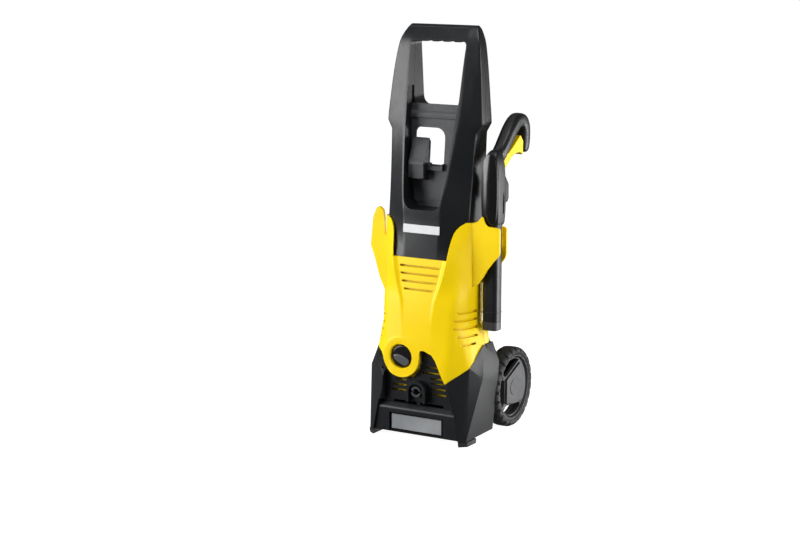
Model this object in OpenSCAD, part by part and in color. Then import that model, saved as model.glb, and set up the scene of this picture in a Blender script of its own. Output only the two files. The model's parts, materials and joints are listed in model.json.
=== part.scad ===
// Upright pressure washer with its trigger gun in the holster.
// Millimetres. X is the width, Y runs from the front feet to the wheels, Z is up.
// Inside the modules Y is counted from the front of the feet; from_front() moves it to the middle.

/* [Overall] */
// Depth from the front of the feet to the back of the tyres
depth = 229; // [229:0.5:230]
// Height of the top of the handle
total_h = 672.5; // [672:0.5:674]
// Reach of the holder and the holster from the middle
reach = 129; // [128:1:130]
// Wall thickness of the mouldings
wall = 2.6; // [2.4:0.1:2.8]
// Gap between neighbouring mouldings
gap = 0.5; // [0.4:0.05:0.6]

/* [Wheels] */
// Radius over the tyre
wheel_r = 67.5; // [67:0.5:67.5]
// Width of a tyre
tyre_w = 28; // [26:1:28]
// Outer face of the wheels from the middle
wheel_x = 103; // [103:0.5:104]
// Radius of the axle
axle_r = 5; // [4.5:0.5:5]
// Radial clearance of a shaft that turns in a bore
running = 0.06; // [0.04:0.01:0.08]

/* [Body] */
// Height where the black tower meets the vents
tower_z = 302; // [301:1:303]
// Top of the front arms of the body
arm_z = 362; // [362:1:363]
// Thickness of a ventilation slot
vent_h = 3; // [2:0.5:3.5]

/* [Handle] */
// Half width of the hand opening
window_w = 52; // [51:1:53]
// Bottom of the hand opening
window_z0 = 550; // [548:1:552]
// Top of the hand opening
window_z1 = 648; // [646:1:650]

/* [Controls] */
// Radius of the rotary knob
knob_r = 18.6; // [18:0.2:19]
// Radius of the opening in the collar
collar_bore = 20; // [20:0.5:21]
// Bore of the high-pressure outlet
outlet_bore = 5.5; // [5:0.5:6]

/* [Gun] */
// Middle plane of the gun
gun_x = 105; // [104.5:0.5:105.5]
// Width of the gun body
gun_w = 30; // [29:1:31]
// Width of the handle of the gun
grip_w = 24; // [23:1:25]
// Bore for a lance
lance_bore = 8; // [7:0.5:9]

/* [Hidden] */
$fn = 48;
eps = 0.01;
axle_y = depth - wheel_r;
axle_z = wheel_r;
tyre_x0 = wheel_x - tyre_w;
tub_x = tyre_x0 - 3;
seam_y = 66;
knob_x = -28;
knob_z = 138;
outlet_z = 82;
inlet_z = 100;
motor_y = 65;
motor_r = 44;
pivot_y = 91;
pivot_z = 469;

// Half outlines of the tower, front to back, at each height
tower_sections = [
    [tower_z, [[0, 17], [30, 17.3], [47, 18.5], [74, 42], [75, 60], [74, 88], [58, 108], [0, 112]]],
    [332, [[0, 19], [32, 20], [51, 27.5], [74, 42.7], [75.5, 61], [74.5, 88], [58, 109], [0, 113]]],
    [345, [[0, 20], [33, 21], [53, 31], [74, 43], [76, 62], [76, 97], [67, 107], [0, 110]]],
    [arm_z, [[0, 21], [34, 22], [62, 38], [75, 45], [76, 64], [76, 98], [67, 107], [0, 109]]],
    [380, [[0, 21], [34.7, 21.5], [62, 39], [75, 47], [76, 65], [76, 98], [67, 107], [0, 108]]],
    [430, [[0, 32], [42, 33], [62, 45], [76, 53], [77, 70], [77, 98], [68, 107], [0, 108]]],
    [504, [[0, 48], [49, 49], [64, 55], [78, 60], [79, 76], [79, 98], [70, 107], [0, 108]]],
    [518, [[0, 50], [51, 52], [70, 58], [87, 63], [87, 78], [87, 98], [78, 107], [0, 108]]],
    [window_z0, [[0, 57], [52, 58], [70, 62], [85, 66], [85, 81], [85, 98], [76, 107], [0, 108]]],
    [644, [[0, 75], [52, 75.5], [63, 77], [74, 78], [74, 90], [74, 102], [67, 108], [0, 109]]],
    [667, [[0, 89], [49, 89], [57, 89.5], [65, 90], [65, 98], [65, 103], [60, 107], [0, 108]]],
    [total_h, [[0, 95], [47, 95], [54, 95], [60.5, 95.5], [61.5, 98.5], [61, 101], [56, 103], [0, 104]]]
];

// Half outlines of the yellow body, front to back, at each height
body_sections = [
    [98, [[0, 1], [20, 1], [26, 1], [53, 1], [84, 22], [96, 60], [88, 90], [60, 110], [0, 116]]],
    [127, [[0, 1.5], [20, 2], [26, 2], [54, 2.5], [87, 25], [97, 70], [88, 92], [64, 113], [0, 118]]],
    [160, [[0, 2], [22, 2.5], [27, 2.5], [59, 6], [82, 26], [96, 76], [87, 94], [68, 113], [0, 119]]],
    [178, [[0, 3], [23, 3.5], [27, 3.5], [61, 8], [78, 26], [94, 76], [86, 93], [66, 112], [0, 119]]],
    [196, [[0, 4], [24, 4.5], [28, 4.5], [62, 10], [75, 27], [83, 68], [74, 86], [56, 107], [0, 116]]],
    [231, [[0, 7.5], [27, 8], [31, 6], [64, 14], [77, 34], [82, 68], [76, 86], [58, 108], [0, 117]]],
    [262, [[0, 12], [35, 12.5], [41, 8.5], [65, 22], [81, 44], [83, 68], [78, 88], [60, 110], [0, 119]]],
    [tower_z, [[0, 17], [43, 17.5], [50, 13], [66, 27], [81, 45], [83, 68], [80, 92], [64, 116], [0, 122]]],
    [341, [[0, 27], [50, 28], [54, 25], [67, 34], [81, 45], [83, 68], [80, 94], [66, 118], [0, 123]]],
    [arm_z, [[0, 36], [60, 36], [64, 35.5], [72, 40], [81, 46], [83, 68], [80, 94], [66, 118], [0, 123]]]
];

// ---- Helpers ----

module from_front() translate([0, -depth / 2, 0]) children();

function mirrored(half) = concat(half, [for (i = [len(half) - 2 : -1 : 1]) [-half[i][0], half[i][1]]]);
function ring(z, half) = [for (p = mirrored(half)) [p[0], p[1], z]];
function turned(v) = [v[1], -v[0]] / norm(v);
function all_but_last(list) = [for (i = [0 : len(list) - 2]) list[i]];
function outward(half, i) =
    i == 0 ? [0, -1] : i == len(half) - 1 ? [0, 1] : turned(half[i + 1] - half[i - 1]);
function inset(half, t) = [for (i = [0 : len(half) - 1]) half[i] - t * outward(half, i)];

// Solid through rings that all have the same number of points, lowest ring first
module loft(rings) {
    n = len(rings[0]);
    last = (len(rings) - 1) * n;
    polyhedron(
        points = [for (r = rings) each r],
        faces = concat(
            [[for (i = [0 : n - 1]) i]],
            [for (k = [0 : len(rings) - 2], i = [0 : n - 1], t = [0, 1])
                let(a = k * n + i, b = k * n + (i + 1) % n)
                t == 0 ? [a, a + n, b + n] : [a, b + n, b]],
            [[for (i = [n - 1 : -1 : 0]) last + i]]
        )
    );
}

// Loft of half outlines, set in by t, its ends moved by low and high
module lofted(sections, t = 0, low = 0, high = 0) {
    top = len(sections) - 1;
    loft([for (k = [0 : top])
        ring(sections[k][0] + (k == 0 ? low : 0) + (k == top ? high : 0), inset(sections[k][1], t))]);
}

// Convex solid round a list of corners
module wrap(corners) hull() polyhedron(corners, [[for (i = [0 : len(corners) - 1]) i]]);

// An X-Z outline, stretched along Y
module front_prism(outline, y0, y1)
    translate([0, y1, 0]) rotate([90, 0, 0]) linear_extrude(y1 - y0) polygon(outline);

// A Y-Z outline, stretched along X
module side_prism(outline, x0, x1)
    translate([x0, 0, 0]) rotate([90, 0, 90]) linear_extrude(x1 - x0) polygon(outline);

// Cylinders along X, Y and Z from one end to the other
module rod_x(r, x0, x1, y, z) translate([x0, y, z]) rotate([0, 90, 0]) cylinder(r = r, h = x1 - x0);
module rod_y(r, y0, y1, x, z) translate([x, y0, z]) rotate([-90, 0, 0]) cylinder(r = r, h = y1 - y0);
module rod_z(r, z0, z1, x, y) translate([x, y, z0]) cylinder(r = r, h = z1 - z0);
module box(low, high) translate(low) cube(high - low);

function both_sides(right_half) =
    concat(right_half, [for (i = [len(right_half) - 1 : -1 : 0]) [-right_half[i][0], right_half[i][1]]]);
function arc(cx, cy, r, a0, a1, steps = 8) =
    [for (i = [0 : steps]) let(a = a0 + (a1 - a0) * i / steps) [cx + r * cos(a), cy + r * sin(a)]];

// ---- Tower ----

// Plane where the front and rear frames of the tower meet, as y at a height
function tower_seam(z) = 57 + 0.11 * (z - 361);

module tower_half_space(front) {
    far = front ? -60 : 200;
    off = front ? 0 : 0.4;
    side_prism([[far, 290], [tower_seam(290) + off, 290], [tower_seam(700) + off, 700], [far, 700]], -130, 130);
}

hand_opening = both_sides([[window_w - 8, window_z0], [window_w, window_z0 + 8], [window_w, window_z1 - 8],
    [window_w - 8, window_z1]]);
hand_opening_wide = both_sides([[window_w - 6, window_z0 - wall], [window_w + wall, window_z0 + 6],
    [window_w + wall, window_z1 - 6], [window_w - 6, window_z1 + wall]]);
recess_opening = both_sides([[28, 380], [35, 388], [42, 430], [49, 504], [window_w, window_z0],
    [window_w, window_z0 + 20]]);
recess_opening_wide = both_sides([[28, 380 - wall], [35 + wall, 387], [42 + wall, 430], [49 + wall, 504],
    [window_w + wall, window_z0], [window_w + wall, window_z0 + 20]]);
rear_opening = both_sides([[52, 396], [58, 402], [60, 504], [60, 534]]);
rear_opening_wide = both_sides([[52, 396 - wall], [58 + wall, 401], [60 + wall, 504], [60 + wall, 534 + wall]]);

module tower_walls(opening, opening_wide) {
    difference() {
        lofted(tower_sections);
        difference() {
            lofted(all_but_last(tower_sections), wall, -1);
            front_prism(opening_wide, 0, 140);
            front_prism(hand_opening_wide, 0, 140);
        }
        front_prism(opening, -1, 141);
        front_prism(hand_opening, -1, 141);
    }
}

module tower_front()
    color("#2b2d30") from_front()
        intersection() {
            tower_walls(recess_opening, recess_opening_wide);
            tower_half_space(true);
        }

module tower_rear()
    color("#232528") from_front()
        difference() {
            intersection() {
                tower_walls(rear_opening, rear_opening_wide);
                tower_half_space(false);
            }
            screw_holes(tower_screws);
        }

// Floor of the front recess: y of its front at a height
function panel_y(z) = 58 + 0.1 * (z - 388);

j_opening = concat(
    [[17, 449], [17, 490]], arc(1, 492, 16, 0, 90), arc(-29, 500, 8, 90, 180), [[-37, 491]],
    arc(-18, 483, 8, 90, 0), [[-10, 449]]);

module recess_panel()
    color("#303236") from_front() {
        difference() {
            intersection() {
                side_prism([[panel_y(384), 384], [panel_y(384) + 2.2, 384], [panel_y(540) + 2.2, 540],
                    [panel_y(540), 540]], -80, 80);
                front_prism(both_sides([[31.4, 384], [34.7, 390], [41.7, 430], [48.7, 504], [51.2, 540]]), 40, 110);
            }
            front_prism(j_opening, 40, 110);
        }
        hook_tongue();
        box([-9, panel_y(447) - 6, 441], [16, panel_y(447) + 9, 447]);
    }

// Hook that a coiled hose hangs on, standing proud of the recess floor
module hook_tongue()
    difference() {
        side_prism([[panel_y(424) + 0.5, 424], [46, 426], [46, 452], [58, 478], [65, 488], [panel_y(489), 489]],
            -39, -11);
        side_prism([[panel_y(424) + 3, 427], [49, 429], [49, 451], [61, 477], [67, 485], [panel_y(489) + 3, 485]],
            -36, -14);
        box([-34, 45, 423], [-16, 47, 449]);
    }

module grip_insert()
    color("#1d1f21") from_front() {
        box([-44, 86, window_z1 - 3.4], [44, 104, window_z1 - 0.4]);
        for (x = [-30 : 15 : 30]) rod_y(3, 86, 104, x, window_z1 - 3.4);
    }

module blank_badge()
    color("#d9dadb") from_front()
        side_prism([[19.2, 338], [18.2, 338], [18.7, 350], [20.2, 350], [19.8, 345]], -33, 33);

// ---- Yellow body ----

// Outline of the tower's foot as the front arms frame it
arm_contour = both_sides([[49.5, tower_z - 0.4], [51.5, 320], [54.5, 341], [58, 350], [63.5, 357], [70, 361], [70, 380]]);

// Lower edge of the yellow front, with the round collar on its left
lower_edge = concat([[-97, 161], [-84, 146], [-70, 139]], arc(knob_x, knob_z, 34, 220, 357, 14),
    [[7, 151], [14, 153], [29, 147], [36, 138], [53.5, 101], [87, 127], [97, 161]]);
above_lower_edge = concat(lower_edge, [[140, 161], [140, 400], [-140, 400], [-140, 161]]);

// Space that the tower's foot takes inside the yellow shells
module tower_space() lofted(tower_sections, -0.4, -1);

module yellow_zone(t) {
    intersection() {
        lofted(body_sections, t);
        union() {
            front_prism(above_lower_edge, -5, 70);
            box([-140, 69, 161], [140, 140, 400]);
        }
    }
}

module body_walls()
    difference() {
        yellow_zone(0);
        lofted(body_sections, wall + 0.4, -5, 5);
    }

module front_vents()
    for (k = [0 : 3])
        let(w = [37, 35, 32, 27][k], z = 288 - 12.4 * k)
            box([-w, 0, z - vent_h / 2], [w, 24, z + vent_h / 2]);

module side_vents()
    for (side = [-1, 1], k = [0 : 4])
        let(z = 217 - 13 * k, x0 = [66, 62, 62, 67, 73][k], y1 = [58, 60, 60, 54, 48][k])
            translate([side > 0 ? x0 : -x0 - 40, -1, z - vent_h / 2]) cube([40, y1, vent_h]);

module front_shell()
    color("#ffd800") from_front()
        difference() {
            union() {
                intersection() {
                    body_walls();
                    box([-140, -5, 90], [140, seam_y, 400]);
                }
                difference() {
                    rod_y(34, 0, 9, knob_x, knob_z);
                    rod_y(31.4, 3, 10, knob_x, knob_z);
                }
                rod_y(collar_bore + 2.4, 0.4, 11, knob_x, knob_z);
            }
            front_prism(arm_contour, -10, 62);
            tower_space();
            rod_y(collar_bore, -5, 40, knob_x, knob_z);
            front_vents();
            side_vents();
        }

module rear_shell()
    color("#f5cf00") from_front()
        difference() {
            intersection() {
                body_walls();
                box([-140, seam_y + 0.4, 90], [140, 140, 330]);
            }
            tower_space();
            for (k = [0 : 5]) box([-34, 100, 200 + 13 * k], [34, 140, 203 + 13 * k]);
            screw_holes(body_screw_places);
        }

module left_holder()
    color("#ffd800") from_front() {
        front_prism(concat([[-84, 205], [-84, 360], [-88, 346], [-89, 330]], arc(-95.5, 326, 6.5, 0, -180, 6),
            [[-103, 350], [-105, 364]], arc(-112, 362, 7, 90, 180, 3), [[-124, 352], [-reach, 303],
            [-122, 284], [-112, 250], [-100, 225]]), 78, 84);
        box([-88, 58, 226], [-84, 78, 350]);
    }

module right_holster()
    color("#ffd800") from_front() {
        front_prism([[84, 262], [95, 264], [99, 274], [107, 288], [117, 301], [reach, 313], [reach, 357],
            [105, 359], [101, 364], [98, 373], [84, 361]], 45, 49);
        front_prism([[84, 262], [92, 268], [118, 304], [118, 351], [84, 358]], 91, 95);
        box([84, 49, 262], [88, 91, 352]);
        box([99, 80.8, 318], [111, 91, 357.7]);
    }

// ---- Base ----

module leg_block()
    wrap([[59.7, 0, 98], [80, 0, 8], [90, 9, 8], [104.7, 38.8, 109], [86.9, 25.3, 127.4], [56, 0, 102],
        [95, 61, 160], [92, 98, 158], [100, 106, 124], [103, 96, 99], [94, 96, 10], [60, 30, 8],
        [60, 96, 8], [60, 98, 158], [60, 61, 158], [56, 30, 102], [60, 100, 124]]);

tub_side = [[18, 8], [18, 120], [26, 156], [98, 158], [121, 159], [132, 146], [152, 127], [178, 108],
    [184, 92], [184, 66], [172, 30], [150, 8]];
tub_inside = [[-10, 40], [-10, 170], [118, 170], [119, 156.6], [130, 143.8], [150, 124.8], [175.6, 106],
    [181, 91], [181, 66], [169, 33], [148, 11], [40, 11], [18 - eps, 40]];

module base_housing()
    color("#303338") from_front()
        difference() {
            union() {
                difference() {
                    union() {
                        leg_block();
                        mirror([1, 0, 0]) leg_block();
                        side_prism(tub_side, -tub_x, tub_x);
                    }
                    for (side = [-1, 1])
                        translate([side * 76, 52, 84]) scale([1, 0.9, 0.9]) translate([-side * 82, -52, -84])
                            scale([side, 1, 1]) leg_block();
                    side_prism(tub_inside, -tub_x + wall, tub_x - wall);
                    box([-61, -1, 60], [61, 30, 162]);
                }
                rod_x(11, -tub_x, tub_x, axle_y, axle_z);
                box([-30, 63, 10], [30, 67, 72]);
                box([-2, 46, 10], [2, 90, 72]);
            }
            for (side = [-1, 1])
                translate([side * (tub_x + 20), axle_y, axle_z]) rotate([0, 90, 0])
                    cylinder(r = wheel_r + 2.2, h = 40, center = true, $fn = 96);
            rod_x(axle_r + 0.3, -tub_x - 1, tub_x + 1, axle_y, axle_z);
            yellow_zone(-gap);
            box([-79.5, -1, 7], [79.5, 18.4, 64]);
            rod_y(10.4, 160, 200, 0, inlet_z);
            rod_y(6.4, 160, 200, 45, inlet_z + 5);
        }

module front_grille()
    color("#2b2d31") from_front()
        difference() {
            union() {
                front_prism([[-77, 9], [77, 9], [59, 98], [59, 118], [40, 151], [9, 151], [3, 118], [-12, 100],
                    [-59, 98]], 13, 16);
                side_prism([[4, 9], [14, 9], [14, 58], [4, 50]], -64, 64);
                front_prism([[-78, 9], [78, 9], [69, 50], [-69, 50]], 4, 14);
            }
            box([-50, 3, 12], [50, 6, 42]);
            box([-70, 7, 11], [70, 13.4, 48]);
            for (side = [-1, 1]) box([side > 0 ? 3 : -47, 12, 57], [side > 0 ? 47 : -3, 17, 62]);
            for (row = grille_rows) box([row[1], 12, row[0] - 2], [row[2], 17, row[0] + 2]);
            rod_y(11.2, 12, 17, 0, outlet_z);
        }

// Height, left end and right end of each slot of the grille
grille_rows = [[123, 13, 34], [114, 7, 39], [105, 22, 43], [97, 23, 46], [88, 23, 50], [97, -43, -23],
    [88, -48, -23], [79, -50, -23], [79, 23, 52]];

module rating_plate()
    color("#c3c5c8") from_front() box([-48, 5, 14], [48, 5.9, 40]);

module rubber_feet()
    color("#18191b") from_front()
        for (side = [-1, 1])
            scale([side, 1, 1])
                wrap([[80, 0, 7.6], [92, 10, 7.6], [93, 40, 7.6], [78, 40, 7.6], [80, 1, 0], [92, 11, 0],
                    [93, 39, 0], [79, 39, 0]]);

// ---- Running gear ----

module axle()
    color("#b9bcc0") from_front() rod_x(axle_r, -wheel_x + 3.4, wheel_x - 3.4, axle_y, axle_z);

module axle_clips()
    color("#8d9096") from_front()
        for (side = [-1, 1])
            translate([side * (wheel_x - 4.3), axle_y, axle_z]) rotate([0, 90, 0])
                difference() {
                    cylinder(r = 9, h = 1, center = true);
                    cylinder(r = axle_r, h = 2, center = true);
                }

// The wheel parts are drawn on the right, with the middle of the axle at the origin
module wheel_place(side)
    from_front() translate([0, axle_y, axle_z]) scale([side, 1, 1]) children();

module spin_x(x0, profile, fn = 96)
    translate([x0, 0, 0]) rotate([0, 90, 0]) rotate_extrude($fn = fn) polygon(profile);

// Openings of the wheel disc as Y and Z from the axle: above the front, at the front and below
wheel_openings = [
    concat(arc(0, 0, 48, 59.3, 142, 12), [[-25.3, 21.1]]),
    concat(arc(0, 0, 48, 150.5, 218.5, 10), [[-29, -22.5], [-29, 15.5]]),
    concat(arc(0, 0, 48, 227.5, 308, 12), [[27, -32], [-22, -28.5]])
];
// Edge of the raised face, with a flat beside each opening
wheel_face = [for (k = [0 : 71]) let(a = 5 * k, r = min(44.5, flat_at(a, 112, 25), flat_at(a, 180, 25),
    flat_at(a, 266, 26))) [r * cos(a), r * sin(a)]];
function flat_at(a, normal, d) = cos(a - normal) > 0.1 ? d / cos(a - normal) : 1000;

module wheel_disc()
    difference() {
        union() {
            spin_x(tyre_x0 + 2, [[49, 0], [55.5, 0], [55.5, tyre_w - 5], [52, tyre_w - 4], [49, tyre_w - 6]]);
            difference() {
                rod_x(50, wheel_x - 12, wheel_x - 6, 0, 0);
                for (outline = wheel_openings) side_prism(outline, wheel_x - 20, wheel_x);
            }
            side_prism(wheel_face, wheel_x - 7, wheel_x - 4);
            rod_x(13, tyre_x0 + 1, wheel_x - 5, 0, 0);
        }
        rod_x(axle_r + running, 0, 120, 0, 0);
        rod_x(14, wheel_x - 5, 120, 0, 0);
    }

module tyre()
    difference() {
        spin_x(tyre_x0, [[55.7, 1.5], [58, 0], [wheel_r - 2.5, 0], [wheel_r, 3], [wheel_r, tyre_w - 4],
            [wheel_r - 4, tyre_w], [58, tyre_w], [55.7, tyre_w - 2]]);
        for (k = [0 : 23], edge = [0, 1])
            rotate([15 * k + 7.5 * edge, 0, 0])
                translate([edge > 0 ? wheel_x - 7 : tyre_x0 - 1, -2, wheel_r - 2.4]) cube([8, 4, 5]);
    }

module hub_cap()
    difference() {
        rod_x(13.5, wheel_x - 4.4 + 0.2, wheel_x, 0, 0);
        rod_x(10, wheel_x - 6, wheel_x - 1.6, 0, 0);
    }

module left_wheel_disc() color("#4a4d51") wheel_place(-1) wheel_disc();
module left_tyre() color("#1b1c1e") wheel_place(-1) tyre();
module left_hub_cap() color("#55585c") wheel_place(-1) hub_cap();
module right_wheel_disc() color("#4a4d51") wheel_place(1) wheel_disc();
module right_tyre() color("#1b1c1e") wheel_place(1) tyre();
module right_hub_cap() color("#55585c") wheel_place(1) hub_cap();

// ---- Controls ----

module switch_knob()
    color("#191a1c") from_front() {
        rod_y(knob_r, 8, 13, knob_x, knob_z);
        intersection() {
            box([knob_x - 20, 2, knob_z - 5], [knob_x + 20, 9, knob_z + 5]);
            rod_y(knob_r - 1, 2, 9, knob_x, knob_z);
        }
    }

module switch_shaft()
    color("#3a3c40") from_front() rod_y(4, 13, 26, knob_x, knob_z);

module switch_housing()
    color("#5b5e63") from_front()
        difference() {
            box([knob_x - 15, 17, knob_z - 14], [knob_x + 12, 27, knob_z + 14]);
            rod_y(4 + running, 16, 28, knob_x, knob_z);
        }

module capacitor()
    color("#c9ccd0") from_front() rod_z(14, 312, 366, 42, 80);

// ---- Water outlet and inlet ----

horseshoe = concat([[18, 65]], arc(0, outlet_z, 18, 0, 180, 16), [[-18, 65]]);

module outlet_surround()
    color("#33363a") from_front()
        difference() {
            front_prism(horseshoe, 1.5, 12.6);
            rod_y(13, 1, 10, 0, outlet_z);
            box([-13, 1, 64], [13, 10, outlet_z]);
            rod_y(9.4, 9, 13, 0, outlet_z);
        }

module outlet_connector()
    color("#202225") from_front()
        difference() {
            union() {
                rod_y(9, 3, 40, 0, outlet_z);
                rod_y(10.8, 16.4, 22, 0, outlet_z);
            }
            rod_y(outlet_bore, 2, 24, 0, outlet_z);
            rod_y(3, 23, 41, 0, outlet_z);
            for (x = [-1, 1]) box([x * 7.4 - 2, 2, outlet_z - 2], [x * 7.4 + 2, 7, outlet_z + 2]);
        }

module outlet_seal()
    color("#111214") from_front() translate([0, 42.3, outlet_z]) rotate([90, 0, 0])
        rotate_extrude() translate([6, 0]) circle(r = 1.8);

module inlet_connector()
    color("#2a2c2f") from_front()
        difference() {
            union() {
                rod_y(13.2, 188.2, 208, 0, inlet_z);
                rod_y(16, 184.4, 188.2, 0, inlet_z);
                rod_y(10, 150, 185, 0, inlet_z);
            }
            rod_y(8.6, 188, 209, 0, inlet_z);
            rod_y(6, 149, 189, 0, inlet_z);
        }

module inlet_filter()
    color("#9aa0a6") from_front()
        difference() {
            union() {
                rod_y(8.4, 200, 203, 0, inlet_z);
                rod_y(5.4, 170, 201, 0, inlet_z);
            }
            rod_y(4.2, 172, 204, 0, inlet_z);
        }

module inlet_pipe()
    color("#3c4045") from_front()
        difference() {
            rod_y(7, 90, 149.8, 0, inlet_z);
            rod_y(5, 89, 151, 0, inlet_z);
        }

module cable_gland()
    color("#141517") from_front() translate([45, 0, inlet_z + 5]) rotate([-90, 0, 0])
        rotate_extrude()
            polygon([[3.6, 172], [6, 172], [6, 183.6], [9, 184.4], [9, 188], [6, 206], [3.6, 206]]);

// ---- Motor and pump ----

module motor_z(r, z0, z1) rod_z(r, z0, z1, 0, motor_y);

module motor_shroud()
    color("#3b3e42") from_front() difference() {
        motor_z(motor_r, 184, 296);
        motor_z(motor_r - 2, 183, 297);
        for (x = [-1, 1]) box([x * 40 - 10, motor_y - 12, 272], [x * 40 + 10, motor_y + 12, 286]);
    }

module motor_stator()
    color("#8b8f95") from_front() difference() {
        motor_z(motor_r - 2.2, 200, 262);
        motor_z(25, 199, 263);
        for (a = [45 : 90 : 315])
            translate([0, motor_y, 0]) rotate([0, 0, a]) box([30, -7, 199], [50, 7, 263]);
    }

module motor_rotor()
    color("#a8713a") from_front() difference() {
        union() {
            motor_z(24, 203, 259);
            motor_z(12, 259, 272);
        }
        motor_z(5, 202, 273);
    }

module motor_shaft()
    color("#c3c6ca") from_front() motor_z(5, 140, 299);

module cooling_fan()
    color("#2f3236") from_front() difference() {
        union() {
            motor_z(10, 275, 286);
            motor_z(38, 275, 277);
            for (a = [0 : 30 : 330])
                translate([0, motor_y, 0]) rotate([0, 0, a]) box([8, -1, 276], [37, 1, 286]);
        }
        motor_z(5, 274, 287);
    }

module motor_bearings()
    color("#d0d3d6") from_front() for (z = [180, 289])
        difference() {
            motor_z(11, z, z + 8);
            motor_z(5 + running, z - 1, z + 9);
        }

module motor_bracket()
    color("#4a4d52") from_front() difference() {
        motor_z(motor_r - 2.2, 288, 294);
        motor_z(11, 287, 295);
        for (a = [0 : 60 : 300])
            translate([0, motor_y, 0]) rotate([0, 0, a]) translate([28, 0, 287]) cylinder(r = 8, h = 8);
    }

module brush_holders()
    color("#6b5138") from_front() for (side = [-1, 1])
        translate([side * 22, motor_y, 266]) cube([19, 9, 8], center = true);

module gearbox_housing()
    color("#63676d") from_front() difference() {
        union() {
            motor_z(40, 134, 184);
            motor_z(16, 183, 188);
        }
        motor_z(36, 133, 178);
        motor_z(11, 177, 189);
    }

module wobble_plate()
    color("#9da1a6") from_front() difference() {
        union() {
            translate([0, motor_y, 161]) rotate([7, 0, 0]) cylinder(r = 28, h = 7, center = true);
            motor_z(12, 161, 174);
        }
        motor_z(5, 140, 180);
    }

module pump_set(r, z0, z1)
    for (a = [90, 210, 330])
        rod_z(r, z0, z1, 19 * cos(a), motor_y + 19 * sin(a));

module pump_pistons()
    color("#c9cdd2") from_front() pump_set(6, 112, 150);

module piston_springs()
    color("#a9adb3") from_front() for (a = [90, 210, 330], z = [135 : 3 : 147])
        translate([19 * cos(a), motor_y + 19 * sin(a), z])
            rotate_extrude($fn = 24) translate([8, 0]) circle(r = 0.8, $fn = 16);

module pump_head()
    color("#b8babd") from_front() difference() {
        union() {
            motor_z(34, 98, 134);
            motor_z(30, 72, 98);
            rod_y(12.5, 24, 44, 0, outlet_z);
        }
        pump_set(6 + running, 111, 135);
        pump_set(5, 97, 112);
        motor_z(24, 84, 98 + eps);
        rod_y(7.2, 84, 101, 0, inlet_z);
        rod_y(9.2, 20, 47, 0, outlet_z);
    }

module pump_valves()
    color("#c29a45") from_front() {
        pump_set(4.6, 88, 108);
        difference() {
            motor_z(20, 86, 90);
            motor_z(6, 85, 91);
        }
    }

// ---- Gun ----

// The outline of the gun's body and handle, seen from its side
gun_outline = [[58, 358], [55, 374], [54, 410], [56, 448], [62, 466], [73, 475], [86, 478], [100, 491],
    [116, 505], [138, 519], [152, 526], [161, 527], [170, 519], [179, 502], [184, 482], [181, 469],
    [170, 464], [161, 466], [160, 486], [150, 499], [124, 483], [103, 471], [90, 463], [83, 452],
    [85, 441], [97, 430], [101, 421], [101, 398], [98, 392], [88, 392], [87, 376], [85, 358]];
// The part of that outline that belongs to the handle
handle_zone = [[82, 440], [78, 476], [86, 482], [140, 540], [200, 530], [200, 450], [120, 455], [100, 438]];
gun_hollow = [[64, 364], [60, 376], [59, 410], [61, 446], [67, 462], [76, 469], [79, 455], [82, 438],
    [92, 428], [96, 420], [96, 400], [84, 396], [82, 364]];
grip_hollow = [[83, 456], [83, 472], [88, 475.5], [100, 485.5], [116, 499.5], [140, 512.5], [151, 516],
    [156, 508], [158, 487], [150, 497], [140, 489], [124, 479], [103, 465], [92, 456]];

module gun_side_outline(x0, x1) side_prism(gun_outline, x0, x1);

// One half of the housing: side is -1 for the left and 1 for the right
module gun_half(side) {
    inner = side > 0 ? gun_x + 0.1 : gun_x - gun_w / 2;
    outer = side > 0 ? gun_x + gun_w / 2 : gun_x - 0.1;
    grip = grip_w / 2 - 3.4;
    difference() {
        gun_side_outline(inner, outer);
        side_prism(handle_zone, side > 0 ? gun_x + grip_w / 2 : gun_x - 40,
            side > 0 ? gun_x + 40 : gun_x - grip_w / 2);
        side_prism(gun_hollow, gun_x - gun_w / 2 + 3, gun_x + gun_w / 2 - 3);
        side_prism(grip_hollow, gun_x - grip, gun_x + grip);
        box([gun_x - 8, 66, 356], [gun_x + 8, 76, 366]);
        rod_x(2.05, gun_x - 10.2, gun_x + 10.2, pivot_y, pivot_z);
        box([gun_x - 6.4, 86, 397.6], [gun_x + 6.4, 104, 414.4]);
        rod_z(6.6, 391, 397, gun_x, 93.6);
        translate([gun_x, 112, 501]) rotate([41, 0, 0]) cube([9, 21, 8], center = true);
        box([gun_x + 15 - 1.2, 72, 374], [gun_x + 16, 76, 411]);
    }
}

module gun_left_housing() color("#232528") from_front() gun_half(-1);
module gun_right_housing() color("#2c2e32") from_front() gun_half(1);

module gun_cover()
    color("#101113") from_front()
        front_prism(concat(arc(gun_x, 456, gun_w / 2 - 1, 0, 180, 12),
            [[gun_x - gun_w / 2 + 1, 376], [gun_x - 10, 361], [gun_x + 10, 361],
            [gun_x + gun_w / 2 - 1, 376]]), 50, 53.8);

module gun_grip_inlay()
    color("#1b1c1e") from_front()
        side_prism([[118, 507.4], [138, 519.6], [150, 526], [148.8, 528], [137, 521.6], [116.8, 509.2]],
            gun_x - 8, gun_x + 8);

module rounded_column(w, y0, y1, r, z0, z1) {
    for (x = [-w / 2 + r, w / 2 - r], y = [y0 + r, y1 - r]) rod_z(r, z0, z1, gun_x + x, y);
    box([gun_x - w / 2 + r, y0, z0], [gun_x + w / 2 - r, y1, z1]);
    box([gun_x - w / 2, y0 + r, z0], [gun_x + w / 2, y1 - r, z1]);
}

module gun_barrel()
    color("#242629") from_front() difference() {
        rounded_column(27, 56, 80, 6, 200.4, 357.6);
        rod_z(lance_bore, 199, 330, gun_x, 68);
        rod_z(5, 329, 359, gun_x, 68);
    }

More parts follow.
